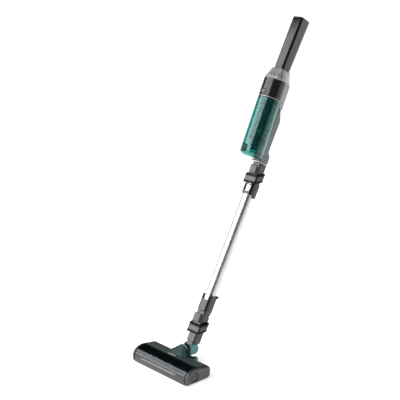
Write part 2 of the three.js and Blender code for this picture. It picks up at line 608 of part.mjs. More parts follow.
function buildHandle() {
  const [length, wall] = [HANDLE_LENGTH, 2.2];
  const tube = (inset, from, to) => {
    const low = section(36.5 - 2 * inset, 41 - 2 * inset, 9 - inset, 0, from, 4);
    return skin(low, section(40 - 2 * inset, 44 - 2 * inset, 9 - inset, 0, to, 4));
  };
  const shell = cut(tube(0, GAP, length), tube(wall, -1, length + 1));
  const panelShape = [[4, -5], [40, -5], [40, 66], [17.5, 58], [12, 12]];
  const panelZone = prismX(polygon(panelShape), -30, 30);
  const panelRoom = prismX(polygon(panelShape.map(([y, z]) => [y - GAP, z + GAP])), -30, 30);
  const switchSlot = block([-5, 10, 28], [5, 40, 52]);
  const contactRoom = block([-9.4, 10, 10], [9.4, 40, 18]);
  place(handle, "handle_shell", cut(shell, panelRoom), BLACK);
  place(handle, "switch_panel", cut(shell.intersect(panelZone), switchSlot, contactRoom), GREY);
  place(handle, "power_switch", block([-4.6, 17, 28.4], [4.6, 22.6, 42]), BRIGHT_TEAL);
  const end = [section(40, 44, 9, 0, length + GAP, 4), section(40, 44, 9, 0, length + 2, 4)];
  place(handle, "handle_end_cap", skin(...end, section(36.5, 40.5, 8, 0, length + 3.6, 4)), BLACK);
  const pads = [-5, 5].map((x) => rod(2, 19, 22, "y", [x, 0, 14], 12));
  place(handle, "charge_contacts", join(block([-9, 17.6, 10.5], [9, 20.2, 17.5]), ...pads), COPPER);
  place(handle, "battery_pack", prismZ(roundedRect(32, 35, 8), 72, 160), CELLS);
  place(handle, "control_board", block([-13, -2, 6], [13, -0.4, 64]), BOARD);
}

buildHeadCovers();
buildHeadBase();
buildEndCaps();
buildBrushLock();
buildBrush();
buildBrushDrive();
buildWheels();
buildElbow();
buildNeck();
buildLowerCoupling();
buildWand();
buildUpperCoupling();
buildInletPlate();
buildRearBody();
buildBin();
buildCyclone();
buildMotorBody();
buildShoulder();
buildHandle();

export default vacuum;
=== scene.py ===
"""Looks of a cordless stick vacuum: floor head, wand, clear dust bin, motor body and handle."""

import random
from math import asin, cos, hypot, pi, radians, sin, sqrt

import bmesh
import bpy
from mathutils import Matrix, Vector


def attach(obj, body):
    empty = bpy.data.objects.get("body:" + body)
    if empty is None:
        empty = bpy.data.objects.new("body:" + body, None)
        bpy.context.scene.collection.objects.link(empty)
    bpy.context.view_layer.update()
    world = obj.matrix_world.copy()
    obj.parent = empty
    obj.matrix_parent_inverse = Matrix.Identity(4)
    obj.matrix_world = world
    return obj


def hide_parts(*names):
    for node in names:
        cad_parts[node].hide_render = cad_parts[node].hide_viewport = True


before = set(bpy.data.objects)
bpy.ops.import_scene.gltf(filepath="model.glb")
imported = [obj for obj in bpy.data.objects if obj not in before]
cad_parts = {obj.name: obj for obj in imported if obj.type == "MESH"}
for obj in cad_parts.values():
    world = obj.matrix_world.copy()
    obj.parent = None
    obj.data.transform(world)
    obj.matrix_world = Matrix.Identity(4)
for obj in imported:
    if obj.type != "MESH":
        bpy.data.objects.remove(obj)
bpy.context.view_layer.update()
SEED = 7
MIDDLE = Vector((0, 0.33, 0.5))

# Frames. Shapes are written in millimetres and placed in metres.
MM = 0.001
WORLD = Matrix.Scale(MM, 4)
RECLINE = Matrix.Rotation(radians(-28.9), 4, "X")
STICK = Matrix.Translation((0, 0.0828, 0.0446)) @ RECLINE @ WORLD
BIN_FOOT, BIN_TILT = (0, -53.2, 612), radians(2.95)
BARREL = STICK @ Matrix.Translation(BIN_FOOT) @ Matrix.Rotation(BIN_TILT, 4, "X")
HANDLE = STICK @ Matrix.Translation((0, -57.4, 888)) @ Matrix.Rotation(radians(-1.0), 4, "X")

# Points on the axes that pieces turn about, in the world's frame.
BRUSH_AXIS = (0, -14, 21.3)
NECK_AXIS = (0, 0, 43)
RECLINE_AXIS = (0, 82.8, 44.6)
WHEEL_AXIS = (0, 84, 10.5)


# ---- shader helpers


def fill(node, **values):
    """Sets a node's inputs. An underscore in a key stands for a space."""
    for key, value in values.items():
        node.inputs[key.replace("_", " ")].default_value = value


def linked_noise(tree, coords, scale, detail=3.0, distortion=0.0):
    """The output of a noise texture laid over some coordinates."""
    noise = tree.nodes.new("ShaderNodeTexNoise")
    fill(noise, Scale=scale, Detail=detail, Distortion=distortion)
    tree.links.new(coords, noise.inputs["Vector"])
    return noise.outputs["Fac"]


def ranged(tree, value, low, high, to_low, to_high):
    """A value carried from one range to another."""
    node = tree.nodes.new("ShaderNodeMapRange")
    fill(node, From_Min=low, From_Max=high, To_Min=to_low, To_Max=to_high)
    tree.links.new(value, node.inputs["Value"])
    return node.outputs["Result"]


def mixed(tree, factor, first, second):
    """A colour between two others; each is a socket or three numbers."""
    node = tree.nodes.new("ShaderNodeMix")
    node.data_type = "RGBA"
    tree.links.new(factor, node.inputs["Factor"])
    for name, colour in (("A", first), ("B", second)):
        socket = [s for s in node.inputs if s.name == name and s.type == "RGBA"][0]
        if isinstance(colour, tuple):
            socket.default_value = (*colour, 1)
        else:
            tree.links.new(colour, socket)
    return [s for s in node.outputs if s.type == "RGBA"][0]


def multiplied(tree, first, second):
    node = tree.nodes.new("ShaderNodeMath")
    node.operation = "MULTIPLY"
    tree.links.new(first, node.inputs[0])
    tree.links.new(second, node.inputs[1])
    return node.outputs[0]


# ---- camera, floor and lights


def placed(name, data):
    """A new object in the scene."""
    thing = bpy.data.objects.new(name, data)
    bpy.context.collection.objects.link(thing)
    return thing


def from_bmesh(name, bm):
    """A new object in the scene with a finished mesh."""
    mesh = bpy.data.meshes.new(name)
    bm.to_mesh(mesh)
    bm.free()
    return placed(name, mesh)


def add_camera():
    data = bpy.data.cameras.new("camera")
    data.sensor_width = 36
    data.lens = 88.73
    camera = placed("camera", data)
    camera.location = (2.0423, -1.7665, 1.2962)
    camera.rotation_euler = (radians(74.08), 0, radians(47.25))
    bpy.context.scene.camera = camera


def add_softbox(name, turn, lift, distance, width, height, radiance, up=(0, 0, 1)):
    """A rectangular light at a compass turn and lift from the middle of the object, facing it."""
    data = bpy.data.lights.new(name, "AREA")
    data.shape = "RECTANGLE"
    data.size = width
    data.size_y = height
    data.energy = radiance * pi * width * height
    light = placed(name, data)
    turn, lift = radians(turn), radians(lift)
    away = Vector((cos(lift) * cos(turn), cos(lift) * sin(turn), sin(lift)))
    right = Vector(up).cross(away).normalized()
    over = away.cross(right)
    axes = Matrix((right, over, away)).transposed().to_4x4()
    light.matrix_world = Matrix.Translation(MIDDLE + away * distance) @ axes


def add_world():
    """White at the horizon and dark overhead. Strengths multiply the background's dark grey."""
    world = bpy.data.worlds.new("studio")
    world.use_nodes = True
    bpy.context.scene.world = world
    nodes, links = world.node_tree.nodes, world.node_tree.links
    background = nodes["Background"]
    coords = nodes.new("ShaderNodeTexCoord")
    split = nodes.new("ShaderNodeSeparateXYZ")
    links.new(coords.outputs["Generated"], split.inputs[0])
    strength = ranged(world.node_tree, split.outputs["Z"], 0.05, 0.12, 20.0, 0.6)
    strength.node.interpolation_type = "SMOOTHSTEP"
    links.new(strength, background.inputs["Strength"])


def add_floor():
    """A large white floor just under the wheels, which glows a little less near the object: a painted
    shadow round it.
    """
    bm = bmesh.new()
    half, height = 40.0, -0.0004
    corners = ((-half, -half), (half, -half), (half, half), (-half, half))
    bm.faces.new([bm.verts.new((x, y, height)) for x, y in corners])
    floor = from_bmesh("floor", bm)
    material = bpy.data.materials.new("floor_white")
    material.use_nodes = True
    shader = material.node_tree.nodes["Principled BSDF"]
    fill(shader, Base_Color=(0.9, 0.9, 0.9, 1), Roughness=0.9)
    fill(shader, Specular_IOR_Level=0.0, Emission_Color=(1, 1, 1, 1))
    tree = material.node_tree
    coords = tree.nodes.new("ShaderNodeTexCoord")
    reach = tree.nodes.new("ShaderNodeVectorMath")
    reach.operation = "LENGTH"
    tree.links.new(coords.outputs["Object"], reach.inputs[0])
    # Emission is dimmer near the object's middle: a painted shadow on the floor round the object.
    glow_with_painted_shadow = ranged(tree, reach.outputs["Value"], 0.25, 2.2, 0.66, 1.0)
    tree.links.new(glow_with_painted_shadow, shader.inputs["Emission Strength"])
    floor.data.materials.append(material)


add_camera()
add_world()
add_floor()
add_softbox("key_left", -113, 28, 2.3, 3.5, 2.3, 3.9, (0, 0.48, 0.88))
add_softbox("window_streak", -173, 46, 2.4, 0.9, 0.16, 2.6)
add_softbox("fill_right", 62, 12, 2.4, 1.2, 1.8, 0.9)
add_softbox("overhead", 60, 80, 2.6, 1.0, 1.0, 2.0)
bpy.context.scene.view_settings.view_transform = "Standard"


# ---- materials


def finish_of(
    name, dark, light, roughness, grain, relief,
    wear=None, wear_amount=0.3, stretch=(1, 1, 1), slot=None, **fixed,
):
    """A moulded surface: colour that drifts, a fine grain, uneven gloss and rubbed edges."""
    material = bpy.data.materials.new(name)
    material["slot"] = slot or name
    material.use_nodes = True
    tree = material.node_tree
    shader = tree.nodes["Principled BSDF"]
    source = tree.nodes.new("ShaderNodeTexCoord")
    mapping = tree.nodes.new("ShaderNodeMapping")
    fill(mapping, Scale=stretch)
    tree.links.new(source.outputs["Object"], mapping.inputs["Vector"])
    coords = mapping.outputs["Vector"]
    drift = ranged(tree, linked_noise(tree, coords, 24, 4, 0.4), 0.36, 0.64, 0, 1)
    colour = mixed(tree, drift, dark, light)
    if wear:
        geometry = tree.nodes.new("ShaderNodeNewGeometry")
        edge = ranged(tree, geometry.outputs["Pointiness"], 0.53, 0.60, 0, wear_amount)
        patches = ranged(tree, linked_noise(tree, coords, 260, 5), 0.42, 0.6, 0.2, 1)
        colour = mixed(tree, multiplied(tree, edge, patches), colour, wear)
    tree.links.new(colour, shader.inputs["Base Color"])
    smears = linked_noise(tree, coords, 75, 5, 0.7)
    tree.links.new(
        ranged(tree, smears, 0.3, 0.7, max(roughness - 0.05, 0.02), roughness + 0.07),
        shader.inputs["Roughness"],
    )
    bump = tree.nodes.new("ShaderNodeBump")
    fill(bump, Strength=relief, Distance=0.0004)
    tree.links.new(linked_noise(tree, coords, grain, 4), bump.inputs["Height"])
    tree.links.new(bump.outputs["Normal"], shader.inputs["Normal"])
    fill(shader, **fixed)
    return material


GREY = finish_of(
    "grey_gloss", (0.005, 0.005, 0.0055), (0.009, 0.009, 0.0095), 0.22, 2400, 0.05,
    (0.07, 0.07, 0.07), 0.3, Coat_Weight=0.45, Coat_Roughness=0.12,
)
# A lighter copy of grey_gloss for the end caps and the brush lock: painted light standing in for the
# side light on their outer faces.
LIT_CAP_GREY = finish_of(
    "lit_cap_grey", (0.030, 0.029, 0.030), (0.038, 0.037, 0.038), 0.30, 2400, 0.08,
    (0.14, 0.14, 0.14), 0.3, slot="grey_gloss", Coat_Weight=0.3, Coat_Roughness=0.2,
)
# A much lighter copy of grey_gloss for the rear body, tinted teal: painted light standing in for the
# lamps' light on its side faces.
LIT_REAR_GREY = finish_of(
    "lit_rear_grey", (0.085, 0.115, 0.112), (0.11, 0.145, 0.141), 0.26, 2400, 0.05,
    (0.24, 0.25, 0.25), 0.3, slot="grey_gloss", Coat_Weight=0.4, Coat_Roughness=0.14,
)
DARK = finish_of(
    "dark_plastic", (0.004, 0.004, 0.005), (0.007, 0.007, 0.008), 0.45, 1900, 0.16,
    (0.05, 0.05, 0.05), 0.3, Specular_IOR_Level=0.3,
)
BLACK = finish_of(
    "black_gloss", (0.004, 0.004, 0.004), (0.007, 0.007, 0.007), 0.13, 2600, 0.03,
    (0.05, 0.05, 0.05), 0.25, Coat_Weight=0.15, Coat_Roughness=0.05,
)
DECK = finish_of(
    "deep_teal", (0.003, 0.014, 0.012), (0.005, 0.021, 0.018), 0.36, 1700, 0.12,
    (0.03, 0.08, 0.07), 0.3, Specular_IOR_Level=0.35,
)
# A lighter copy of the deck's teal for the hump: painted light on the hump's lit side.
LIT_HUMP = finish_of(
    "lit_hump_teal", (0.001, 0.030, 0.025), (0.002, 0.042, 0.035), 0.28, 1700, 0.08,
    (0.03, 0.13, 0.11), 0.25, slot="deep_teal", Specular_IOR_Level=0.4,
)
TEAL = finish_of(
    "bright_teal", (0.02, 0.22, 0.20), (0.03, 0.27, 0.25), 0.24, 2200, 0.05,
    (0.2, 0.45, 0.43), 0.3, Coat_Weight=0.3, Coat_Roughness=0.1,
)
SILVER = finish_of(
    "silver_plastic", (0.40, 0.41, 0.41), (0.47, 0.48, 0.48), 0.30, 3000, 0.05,
    (0.7, 0.7, 0.7), 0.4, Metallic=0.45,
)
RIBS = finish_of(
    "rib_grey", (0.15, 0.15, 0.151), (0.19, 0.19, 0.191), 0.28, 2200, 0.06,
    (0.24, 0.24, 0.24), 0.3, slot="silver_plastic", Coat_Weight=0.3,
)
TUBE = finish_of(
    "aluminium", (0.60, 0.605, 0.61), (0.67, 0.675, 0.68), 0.31, 900, 0.05,
    stretch=(6, 6, 0.4), Metallic=1.0,
)
STEEL = finish_of(
    "steel", (0.50, 0.50, 0.51), (0.60, 0.60, 0.61), 0.22, 1200, 0.08,
    (0.8, 0.8, 0.8), 0.3, Metallic=1.0,
)
RUBBER = finish_of(
    "rubber", (0.002, 0.002, 0.002), (0.004, 0.004, 0.004), 0.55, 1500, 0.25,
    (0.04, 0.04, 0.04), 0.3, Specular_IOR_Level=0.2,
)
BRISTLE = finish_of("bristle", (0.04, 0.055, 0.09), (0.08, 0.10, 0.15), 0.55, 3000, 0.2)
BRASS = finish_of(
    "contact_brass", (0.62, 0.42, 0.16), (0.72, 0.50, 0.22), 0.26, 1400, 0.08,
    (0.9, 0.7, 0.4), 0.3, Metallic=1.0,
)
FILTER = finish_of("filter_media", (0.62, 0.60, 0.54), (0.74, 0.72, 0.66), 0.85, 1300, 0.5)
BOARD = finish_of(
    "circuit_board", (0.01, 0.10, 0.04), (0.015, 0.14, 0.06), 0.35, 900, 0.15,
    (0.3, 0.35, 0.2), 0.3,
)
WRAP = finish_of(
    "cell_wrap", (0.02, 0.08, 0.26), (0.03, 0.11, 0.33), 0.4, 1200, 0.1,
    (0.2, 0.3, 0.5), 0.3,
)
TEAL_CLEAR = finish_of(
    "teal_clear", (0.045, 0.46, 0.42), (0.055, 0.50, 0.46), 0.10, 40, 0.02,
    Transmission_Weight=0.96, IOR=1.46, Coat_Weight=0.3, Coat_Roughness=0.16,
)
SMOKE_CLEAR = finish_of(
    "smoke_clear", (0.12, 0.16, 0.22), (0.15, 0.19, 0.26), 0.06, 40, 0.02,
    Transmission_Weight=1.0, IOR=1.46,
)


# ---- mesh helpers


def make(name, vertices, faces, place):
    """An object of closed mesh, with its faces turned outwards and doubled points joined."""
    mesh = bpy.data.meshes.new(name)
    mesh.from_pydata([place @ Vector(v) for v in vertices], [], faces)
    bm = bmesh.new()
    bm.from_mesh(mesh)
    bmesh.ops.remove_doubles(bm, verts=bm.verts, dist=2e-6)
    bmesh.ops.dissolve_degenerate(bm, edges=bm.edges, dist=1e-6)
    bmesh.ops.recalc_face_normals(bm, faces=bm.faces)
    bm.to_mesh(mesh)
    bm.free()
    return placed(name, mesh)


def walls(low, high):
    """Quads between two rings of point numbers."""
    n = len(low)
    return [(low[k], low[(k + 1) % n], high[(k + 1) % n], high[k]) for k in range(n)]


def loft(name, loops, place, ring=False):
    """Skins a list of equal loops. With ring, the last loop joins the first instead of two end caps."""
    count = len(loops[0])
    vertices = [point for loop in loops for point in loop]
    faces = []
    for i in range(len(loops) if ring else len(loops) - 1):
        a, b = i * count, (i + 1) % len(loops) * count
        faces += walls(range(a, a + count), range(b, b + count))
    if not ring:
        faces.append(tuple(range(count))[::-1])
        faces.append(tuple(range((len(loops) - 1) * count, len(loops) * count)))
    return make(name, vertices, faces, place)


def turned(name, profile, place, axis="Z", centre=(0, 0, 0), steps=96):
    """A lathe shape from (radius, distance) points. A profile between two points on the axis
    stays open there; any other is a closed ring."""
    closed = profile[0][0] > 0 or profile[-1][0] > 0
    count = len(profile)
    vertices = []
    for i in range(steps):
        turn = 2 * pi * i / steps
        for radius, along in profile:
            u, v = radius * cos(turn), radius * sin(turn)
            spot = {"X": (along, u, v), "Y": (v, along, u), "Z": (u, v, along)}[axis]
            vertices.append(tuple(s + c for s, c in zip(spot, centre)))
    faces = []
    for i in range(steps):
        a, b = i * count, (i + 1) % steps * count
        for k in range(count if closed else count - 1):
            n = (k + 1) % count
            faces.append((a + k, b + k, b + n, a + n))
    return make(name, vertices, faces, place)


def plug(radius, low, high):
    """The profile of a plain cylinder."""
    return [(0, low), (radius, low), (radius, high), (0, high)]


def level(outline, z):
    """A flat outline at a height."""
    return [(x, y, z) for x, y in outline]


def prism(name, outline, low, high, place, axis="Z"):
    """An outline pushed along an axis. Its points are (x, y) for Z, (y, z) for X and (x, z) for Y."""
    loops = []
    for t in (low, high):
        loops.append([{"X": (t, u, v), "Y": (u, t, v), "Z": (u, v, t)}[axis] for u, v in outline])
    return loft(name, loops, place)


def block(name, low, high, place):
    """A box given by its lowest and highest corners."""
    (x0, y0, z0), (x1, y1, z1) = low, high
    return prism(name, [(x0, y0), (x1, y0), (x1, y1), (x0, y1)], z0, z1, place)


def strip(name, outer, inner, low, high, place, axis="X"):
    """A curved wall between two open lines of equal length, pushed along an axis."""
    count = len(outer)
    vertices = []
    for t in (low, high):
        vertices += [{"X": (t, u, v), "Z": (u, v, t)}[axis] for u, v in (*outer, *inner)]
    faces = []
    for k in range(count - 1):
        a, b = k, k + 1
        faces.append((a, b, b + 2 * count, a + 2 * count))
        faces.append((a + count, a + 3 * count, b + 3 * count, b + count))
        faces.append((a, a + count, b + count, b))
        faces.append((a + 2 * count, b + 2 * count, b + 3 * count, a + 3 * count))
    for k in (0, count - 1):
        faces.append((k, k + 2 * count, k + 3 * count, k + count))
    return make(name, vertices, faces, place)


def skin(name, points, place):
    """The convex hull of some points."""
    bm = bmesh.new()
    for point in points:
        bm.verts.new(place @ Vector(point))
    result = bmesh.ops.convex_hull(bm, input=bm.verts)
    spare = set(result["geom_interior"] + result["geom_unused"])
    inner = [e for e in spare if isinstance(e, bmesh.types.BMVert)]
    bmesh.ops.delete(bm, geom=inner, context="VERTS")
    bmesh.ops.dissolve_limit(bm, angle_limit=radians(0.6), verts=bm.verts, edges=bm.edges)
    return from_bmesh(name, bm)


def applied(piece, kind, **settings):
    """Gives a piece a modifier and applies it to the mesh."""
    modifier = piece.modifiers.new("change", kind)
    for key, value in settings.items():
        setattr(modifier, key, value)
    depsgraph = bpy.context.evaluated_depsgraph_get()
    mesh = bpy.data.meshes.new_from_object(piece.evaluated_get(depsgraph))
    piece.modifiers.clear()
    piece.data = mesh


def combine(piece, tool, operation="DIFFERENCE"):
    """Cuts a tool out of a piece, or joins or intersects them, and uses the tool up."""
    how = {"solver": "EXACT", "material_mode": "TRANSFER"}
    applied(piece, "BOOLEAN", object=tool, operation=operation, **how)
    bpy.data.objects.remove(tool, do_unlink=True)


def bevelled(piece, width, angle=35):
    """Rounds the edges that are sharper than an angle. The width is in millimetres."""
    how = {"segments": 3, "limit_method": "ANGLE", "use_clamp_overlap": True}
    applied(piece, "BEVEL", width=width * MM, angle_limit=radians(angle), **how)


def smoothed(piece, angle=38):
    """Smooth shading, broken at the edges that are sharper than an angle."""
    for face in piece.data.polygons:
        face.use_smooth = True
    piece.data.set_sharp_from_angle(angle=radians(angle))
    normals = piece.modifiers.new("normals", "WEIGHTED_NORMAL")
    normals.keep_sharp = True
    return piece


def dress(piece, look, body, nodes=(), bevel=0.0, angle=35, smooth=38):
    """Gives a piece its edges, material, body and the CAD nodes it stands for."""
    if bevel:
        bevelled(piece, bevel, angle)
    smoothed(piece, smooth)
    if not any(piece.data.materials):
        piece.data.materials.clear()
        piece.data.materials.append(look)
    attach(piece, body)
    if nodes:
        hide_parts(*nodes)
    return piece


def refined(node, look, body, bevel=0.5, angle=32):
    """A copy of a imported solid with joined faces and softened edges, which stands for it."""
    bm = bmesh.new()
    bm.from_mesh(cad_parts[node].data)
    bmesh.ops.remove_doubles(bm, verts=bm.verts, dist=1e-5)
    bmesh.ops.dissolve_limit(bm, angle_limit=radians(1), verts=bm.verts, edges=bm.edges)
    return dress(from_bmesh(node + "_look", bm), look, body, [node], bevel=bevel, angle=angle)


def rounded(width, depth, radius, cx=0.0, cy=0.0, steps=9):
    """The outline of a rectangle with rounded corners."""
    points = []
    for corner, (sx, sy) in enumerate(((1, 1), (-1, 1), (-1, -1), (1, -1))):
        for k in range(steps + 1):
            turn = (corner + k / steps) * pi / 2
            x = cx + sx * (width / 2 - radius) + radius * cos(turn)
            points.append((x, cy + sy * (depth / 2 - radius) + radius * sin(turn)))
    return points


def circle(radius, cx=0.0, cy=0.0, steps=72):
    turns = [2 * pi * k / steps for k in range(steps)]
    return [(cx + radius * cos(t), cy + radius * sin(t)) for t in turns]


def hull_outline(points):
    """Convex outline of flat points, anticlockwise."""
    ordered = sorted(set(points))
    halves = []
    for sequence in (ordered, ordered[::-1]):
        chain = []
        for p in sequence:
            while len(chain) > 1 and cross(chain[-2], chain[-1], p) <= 0:
                chain.pop()
            chain.append(p)
        halves.append(chain[:-1])
    return halves[0] + halves[1]


def cross(a, b, c):
    """Twice the signed area of a triangle."""
    return (b[0] - a[0]) * (c[1] - a[1]) - (b[1] - a[1]) * (c[0] - a[0])


def radial(outline, turns, centre=(0, 0)):
    """Where rays at the given turns from a centre leave an outline."""
    found = []
    for turn in turns:
        dx, dy = cos(turn), sin(turn)
        best = 0.0
        for (ax, ay), (bx, by) in zip(outline, outline[1:] + outline[:1]):
            ax, ay, bx, by = ax - centre[0], ay - centre[1], bx - centre[0], by - centre[1]
            side = dx * (by - ay) - dy * (bx - ax)
            if abs(side) < 1e-12:
                continue
            reach = (ax * (by - ay) - ay * (bx - ax)) / side
            share = (ax * dy - ay * dx) / side
            if reach > best and -1e-9 <= share <= 1 + 1e-9:
                best = reach
        found.append((centre[0] + best * dx, centre[1] + best * dy))
    return found


def bezier(p0, p1, p2, p3, start, stop, steps):
    """Points of a cubic curve between two shares of its length."""
    points = []
    for k in range(steps + 1):
        t = start + (stop - start) * k / steps
        weights = ((1 - t) ** 3, 3 * (1 - t) ** 2 * t, 3 * (1 - t) * t * t, t**3)
        pairs = list(zip(weights, (p0, p1, p2, p3)))
        points.append(tuple(sum(w * p[i] for w, p in pairs) for i in (0, 1)))
    return points


def offset(line, distance):
    """An open line moved sideways to its right by a distance."""
    moved = []
    for k, point in enumerate(line):
        before, after = line[max(k - 1, 0)], line[min(k + 1, len(line) - 1)]
        dx, dy = after[0] - before[0], after[1] - before[1]
        length = hypot(dx, dy)
        moved.append((point[0] + dy / length * distance, point[1] - dx / length * distance))
    return moved


# ---- floor head

HEAD_FRONT, HEAD_BACK = -45.0, 49.5
SHELL = 2.2
COVER_END = 115.65
BAND_START = 111.8
SPRING_Z = 20.0
NOSE_Y, NOSE_WIDE, NOSE_HIGH = -8.0, 37.0, 26.0
CREST = ((-8, 46), (4, 46), (12, 43.8), (22, 41.8))
TAIL = ((40, 39.6), (46.5, 38.5), (49.5, 34), (49.5, 26))
TOE, HEEL = 4.0, 15.0
WINDOW_SILL = 33.2
WINDOW_END, DECK_START = 0.228, 0.252


def nose_line(low, high, steps=18):
    """The front of the head between two heights: upright, then a quarter ellipse."""
    line = []
    for k in range(steps + 1):
        z = low + (high - low) * k / steps
        rise = max(z - SPRING_Z, 0) / NOSE_HIGH
        line.append((NOSE_Y - NOSE_WIDE * sqrt(max(1 - rise * rise, 0)), z))
    return line


def nose_arc(low, steps=26):
    """The quarter ellipse over the brush, in even turns from a height to the crest."""
    start = pi - asin((low - SPRING_Z) / NOSE_HIGH)
    turns = [start + (pi / 2 - start) * k / steps for k in range(steps + 1)]
    return [(NOSE_Y + NOSE_WIDE * cos(t), SPRING_Z + NOSE_HIGH * sin(t)) for t in turns]


def whole_outline(low):
    """The side view of the head from its rounded front foot to its rounded back foot."""
    turns = [k / 8 * pi / 2 for k in range(9)]
    toe = [(HEAD_FRONT + TOE - TOE * sin(t), low + TOE - TOE * cos(t)) for t in turns]
    heel = [(HEAD_BACK - HEEL + HEEL * cos(t), low + HEEL - HEEL * sin(t)) for t in turns]
    return toe + nose_arc(SPRING_Z) + bezier(*CREST, 0, 1, 14)[1:] + bezier(*TAIL, 0, 1, 14) + heel


def deck_line():
    """The side view of the deck, from the window back and down to the skirt."""
    return bezier(*CREST, DECK_START, 1, 14) + bezier(*TAIL, 0, 1, 14) + [(HEAD_BACK, 15.4)]


def grooved(line, start, stop, pitch, depth):
    """A line cut into short steps, and the same line with notches between two y values."""
    notch, step = 0.7, 0.35
    dense = []
    for (ay, az), (by, bz) in zip(line, line[1:]):
        pieces = max(int(hypot(by - ay, bz - az) / step), 1)
        dense += [(ay + (by - ay) * k / pieces, az + (bz - az) * k / pieces) for k in range(pieces)]
    dense.append(line[-1])
    inner = offset(dense, depth)
    cut = []
    for outer_point, inner_point in zip(dense, inner):
        phase = (outer_point[0] - start) % pitch
        inside = start < outer_point[0] < stop and phase < notch
        cut.append(inner_point if inside else outer_point)
    return dense, cut


def build_bumper():
    line = nose_line(2.2, WINDOW_SILL)
    bumper = strip("bumper", line, offset(line, SHELL), -BAND_START, BAND_START, WORLD)
    rib_zone = [(-89, 22.6), (-82.3, 15.0), (70.3, 15.0), (80, 29.8), (-60, 24.6)]
    bevelled(bumper, 0.5)
    combine(bumper, prism("pocket", rib_zone, -46, -43.9, WORLD, "Y"))
    dress(bumper, GREY, "head", ["front_bumper"])


def build_ribs():
    """Upright ribs on the sloping wedge of the front, over a dark groove."""
    top = [(-88, 22.3), (-60, 24.2), (79, 29.4)]
    bottom = [(-88, 22.3), (-82, 16.8), (70.6, 16.8), (79, 29.4)]

    def height(line, x):
        for (ax, az), (bx, bz) in zip(line, line[1:]):
            if x <= bx:
                return az + (bz - az) * (x - ax) / (bx - ax)
        return line[-1][1]

    columns, rows, pitch = 640, 8, 3.4
    left, length = -87.5, 166
    loops = []
    for column_number in range(columns + 1):
        x = left + length * column_number / columns
        low, high = height(bottom, x), height(top, x)
        raised = 0.55 if (x % pitch) < pitch * 0.62 else 0.0
        face = nose_line(low, high, rows)
        front = [(x, y + 0.75 - raised, z) for y, z in face]
        back = [(x, y + 1.25, z) for y, z in reversed(face)]
        loops.append(front + back)
    ribs = loft("ribs", loops, WORLD)
    dress(ribs, RIBS, "head", ["ribbed_insert"], smooth=30)


def build_window():
    line = nose_arc(WINDOW_SILL + 0.35) + bezier(*CREST, 0, WINDOW_END, 5)[1:]
    window = strip("window", line, offset(line, SHELL), -BAND_START, BAND_START, WORLD)
    dress(window, SMOKE_CLEAR, "head", ["brush_window"], bevel=0.5)


def build_deck():
    dense, cut = grooved(deck_line(), 3, 46, 3.1, 0.45)
    deck = strip("deck", cut, offset(dense, SHELL), -BAND_START, BAND_START, WORLD)
    hole = plug(15.4, 30, 60)
    combine(deck, turned("neck_hole", hole, WORLD, "Y", NECK_AXIS, 64))
    dress(deck, DECK, "head", ["rear_deck"], smooth=24)


def across_neck(radius, y):
    """A circle round the neck's axis."""
    return [(x, y, z) for x, z in circle(radius, 0, NECK_AXIS[2], 96)]


def build_hump():
    """The tapered mount that rises from the deck to the neck's ring."""
    ring, step = across_neck(21.5, 52.0), across_neck(20.6, 52.35)
    foot = []
    for side in (-1, 1):
        for k in range(9):
            t = k / 8 * pi / 2
            drop = 1 - cos(t)
            foot.append((side * (30 + 16 * sin(t)), 16 + 31 * drop, 40 - 4 * drop))
    low = [(side * 40, 48.5, 28) for side in (-1, 1)]
    hump = skin("hump", ring + step + foot + low, WORLD)
    bore = plug(15.5, 45.6, 60)
    combine(hump, turned("bore", bore, WORLD, "Y", NECK_AXIS, 96))
    under = offset(deck_line(), SHELL - 0.1) + [(HEAD_BACK - 2, 0), (0, 0)]
    combine(hump, prism("belly", under, -60, 60, WORLD, "X"))
    dress(hump, LIT_HUMP, "head", bevel=1.1, angle=25)


def build_end(side):
    """A bevelled end cap with the black band that it clips over."""
    name = "right" if side > 0 else "left"
    inside, outside = side * 115.95, side * 123.98
    curve = ((0.6, inside), (0.0, side * 116.5), (0.0, side * 119.8), (0.5, side * 121.8))
    loops = []
    for inset, x in (*curve, (1.7, side * 123.3), (3.4, outside)):
        line = offset(whole_outline(2.2), inset)
        loops.append([(x, y, z) for y, z in line])
    cap = loft("end_cap_" + name + "_shell", loops, WORLD)
    if side > 0:
        seat = plug(15.6, 113.6, 130)
        combine(cap, turned("seat", seat, WORLD, "X", BRUSH_AXIS))
    else:
        trim = [(0, -122.9), (0, -126), (16.0, -126), (16.0, -123.5), (15.2, -122.9)]
        combine(cap, turned("dish", trim, WORLD, "X", BRUSH_AXIS))
    dress(cap, LIT_CAP_GREY, "head", ["end_cap_" + name], bevel=0.35, angle=50)
    line = whole_outline(2.4)
    low, high = sorted((side * (BAND_START + 0.25), side * (COVER_END + 0.1)))
    band = strip("end_band_" + name, line, offset(line, SHELL), low, high, WORLD)
    dress(band, RUBBER, "head", bevel=0.4)


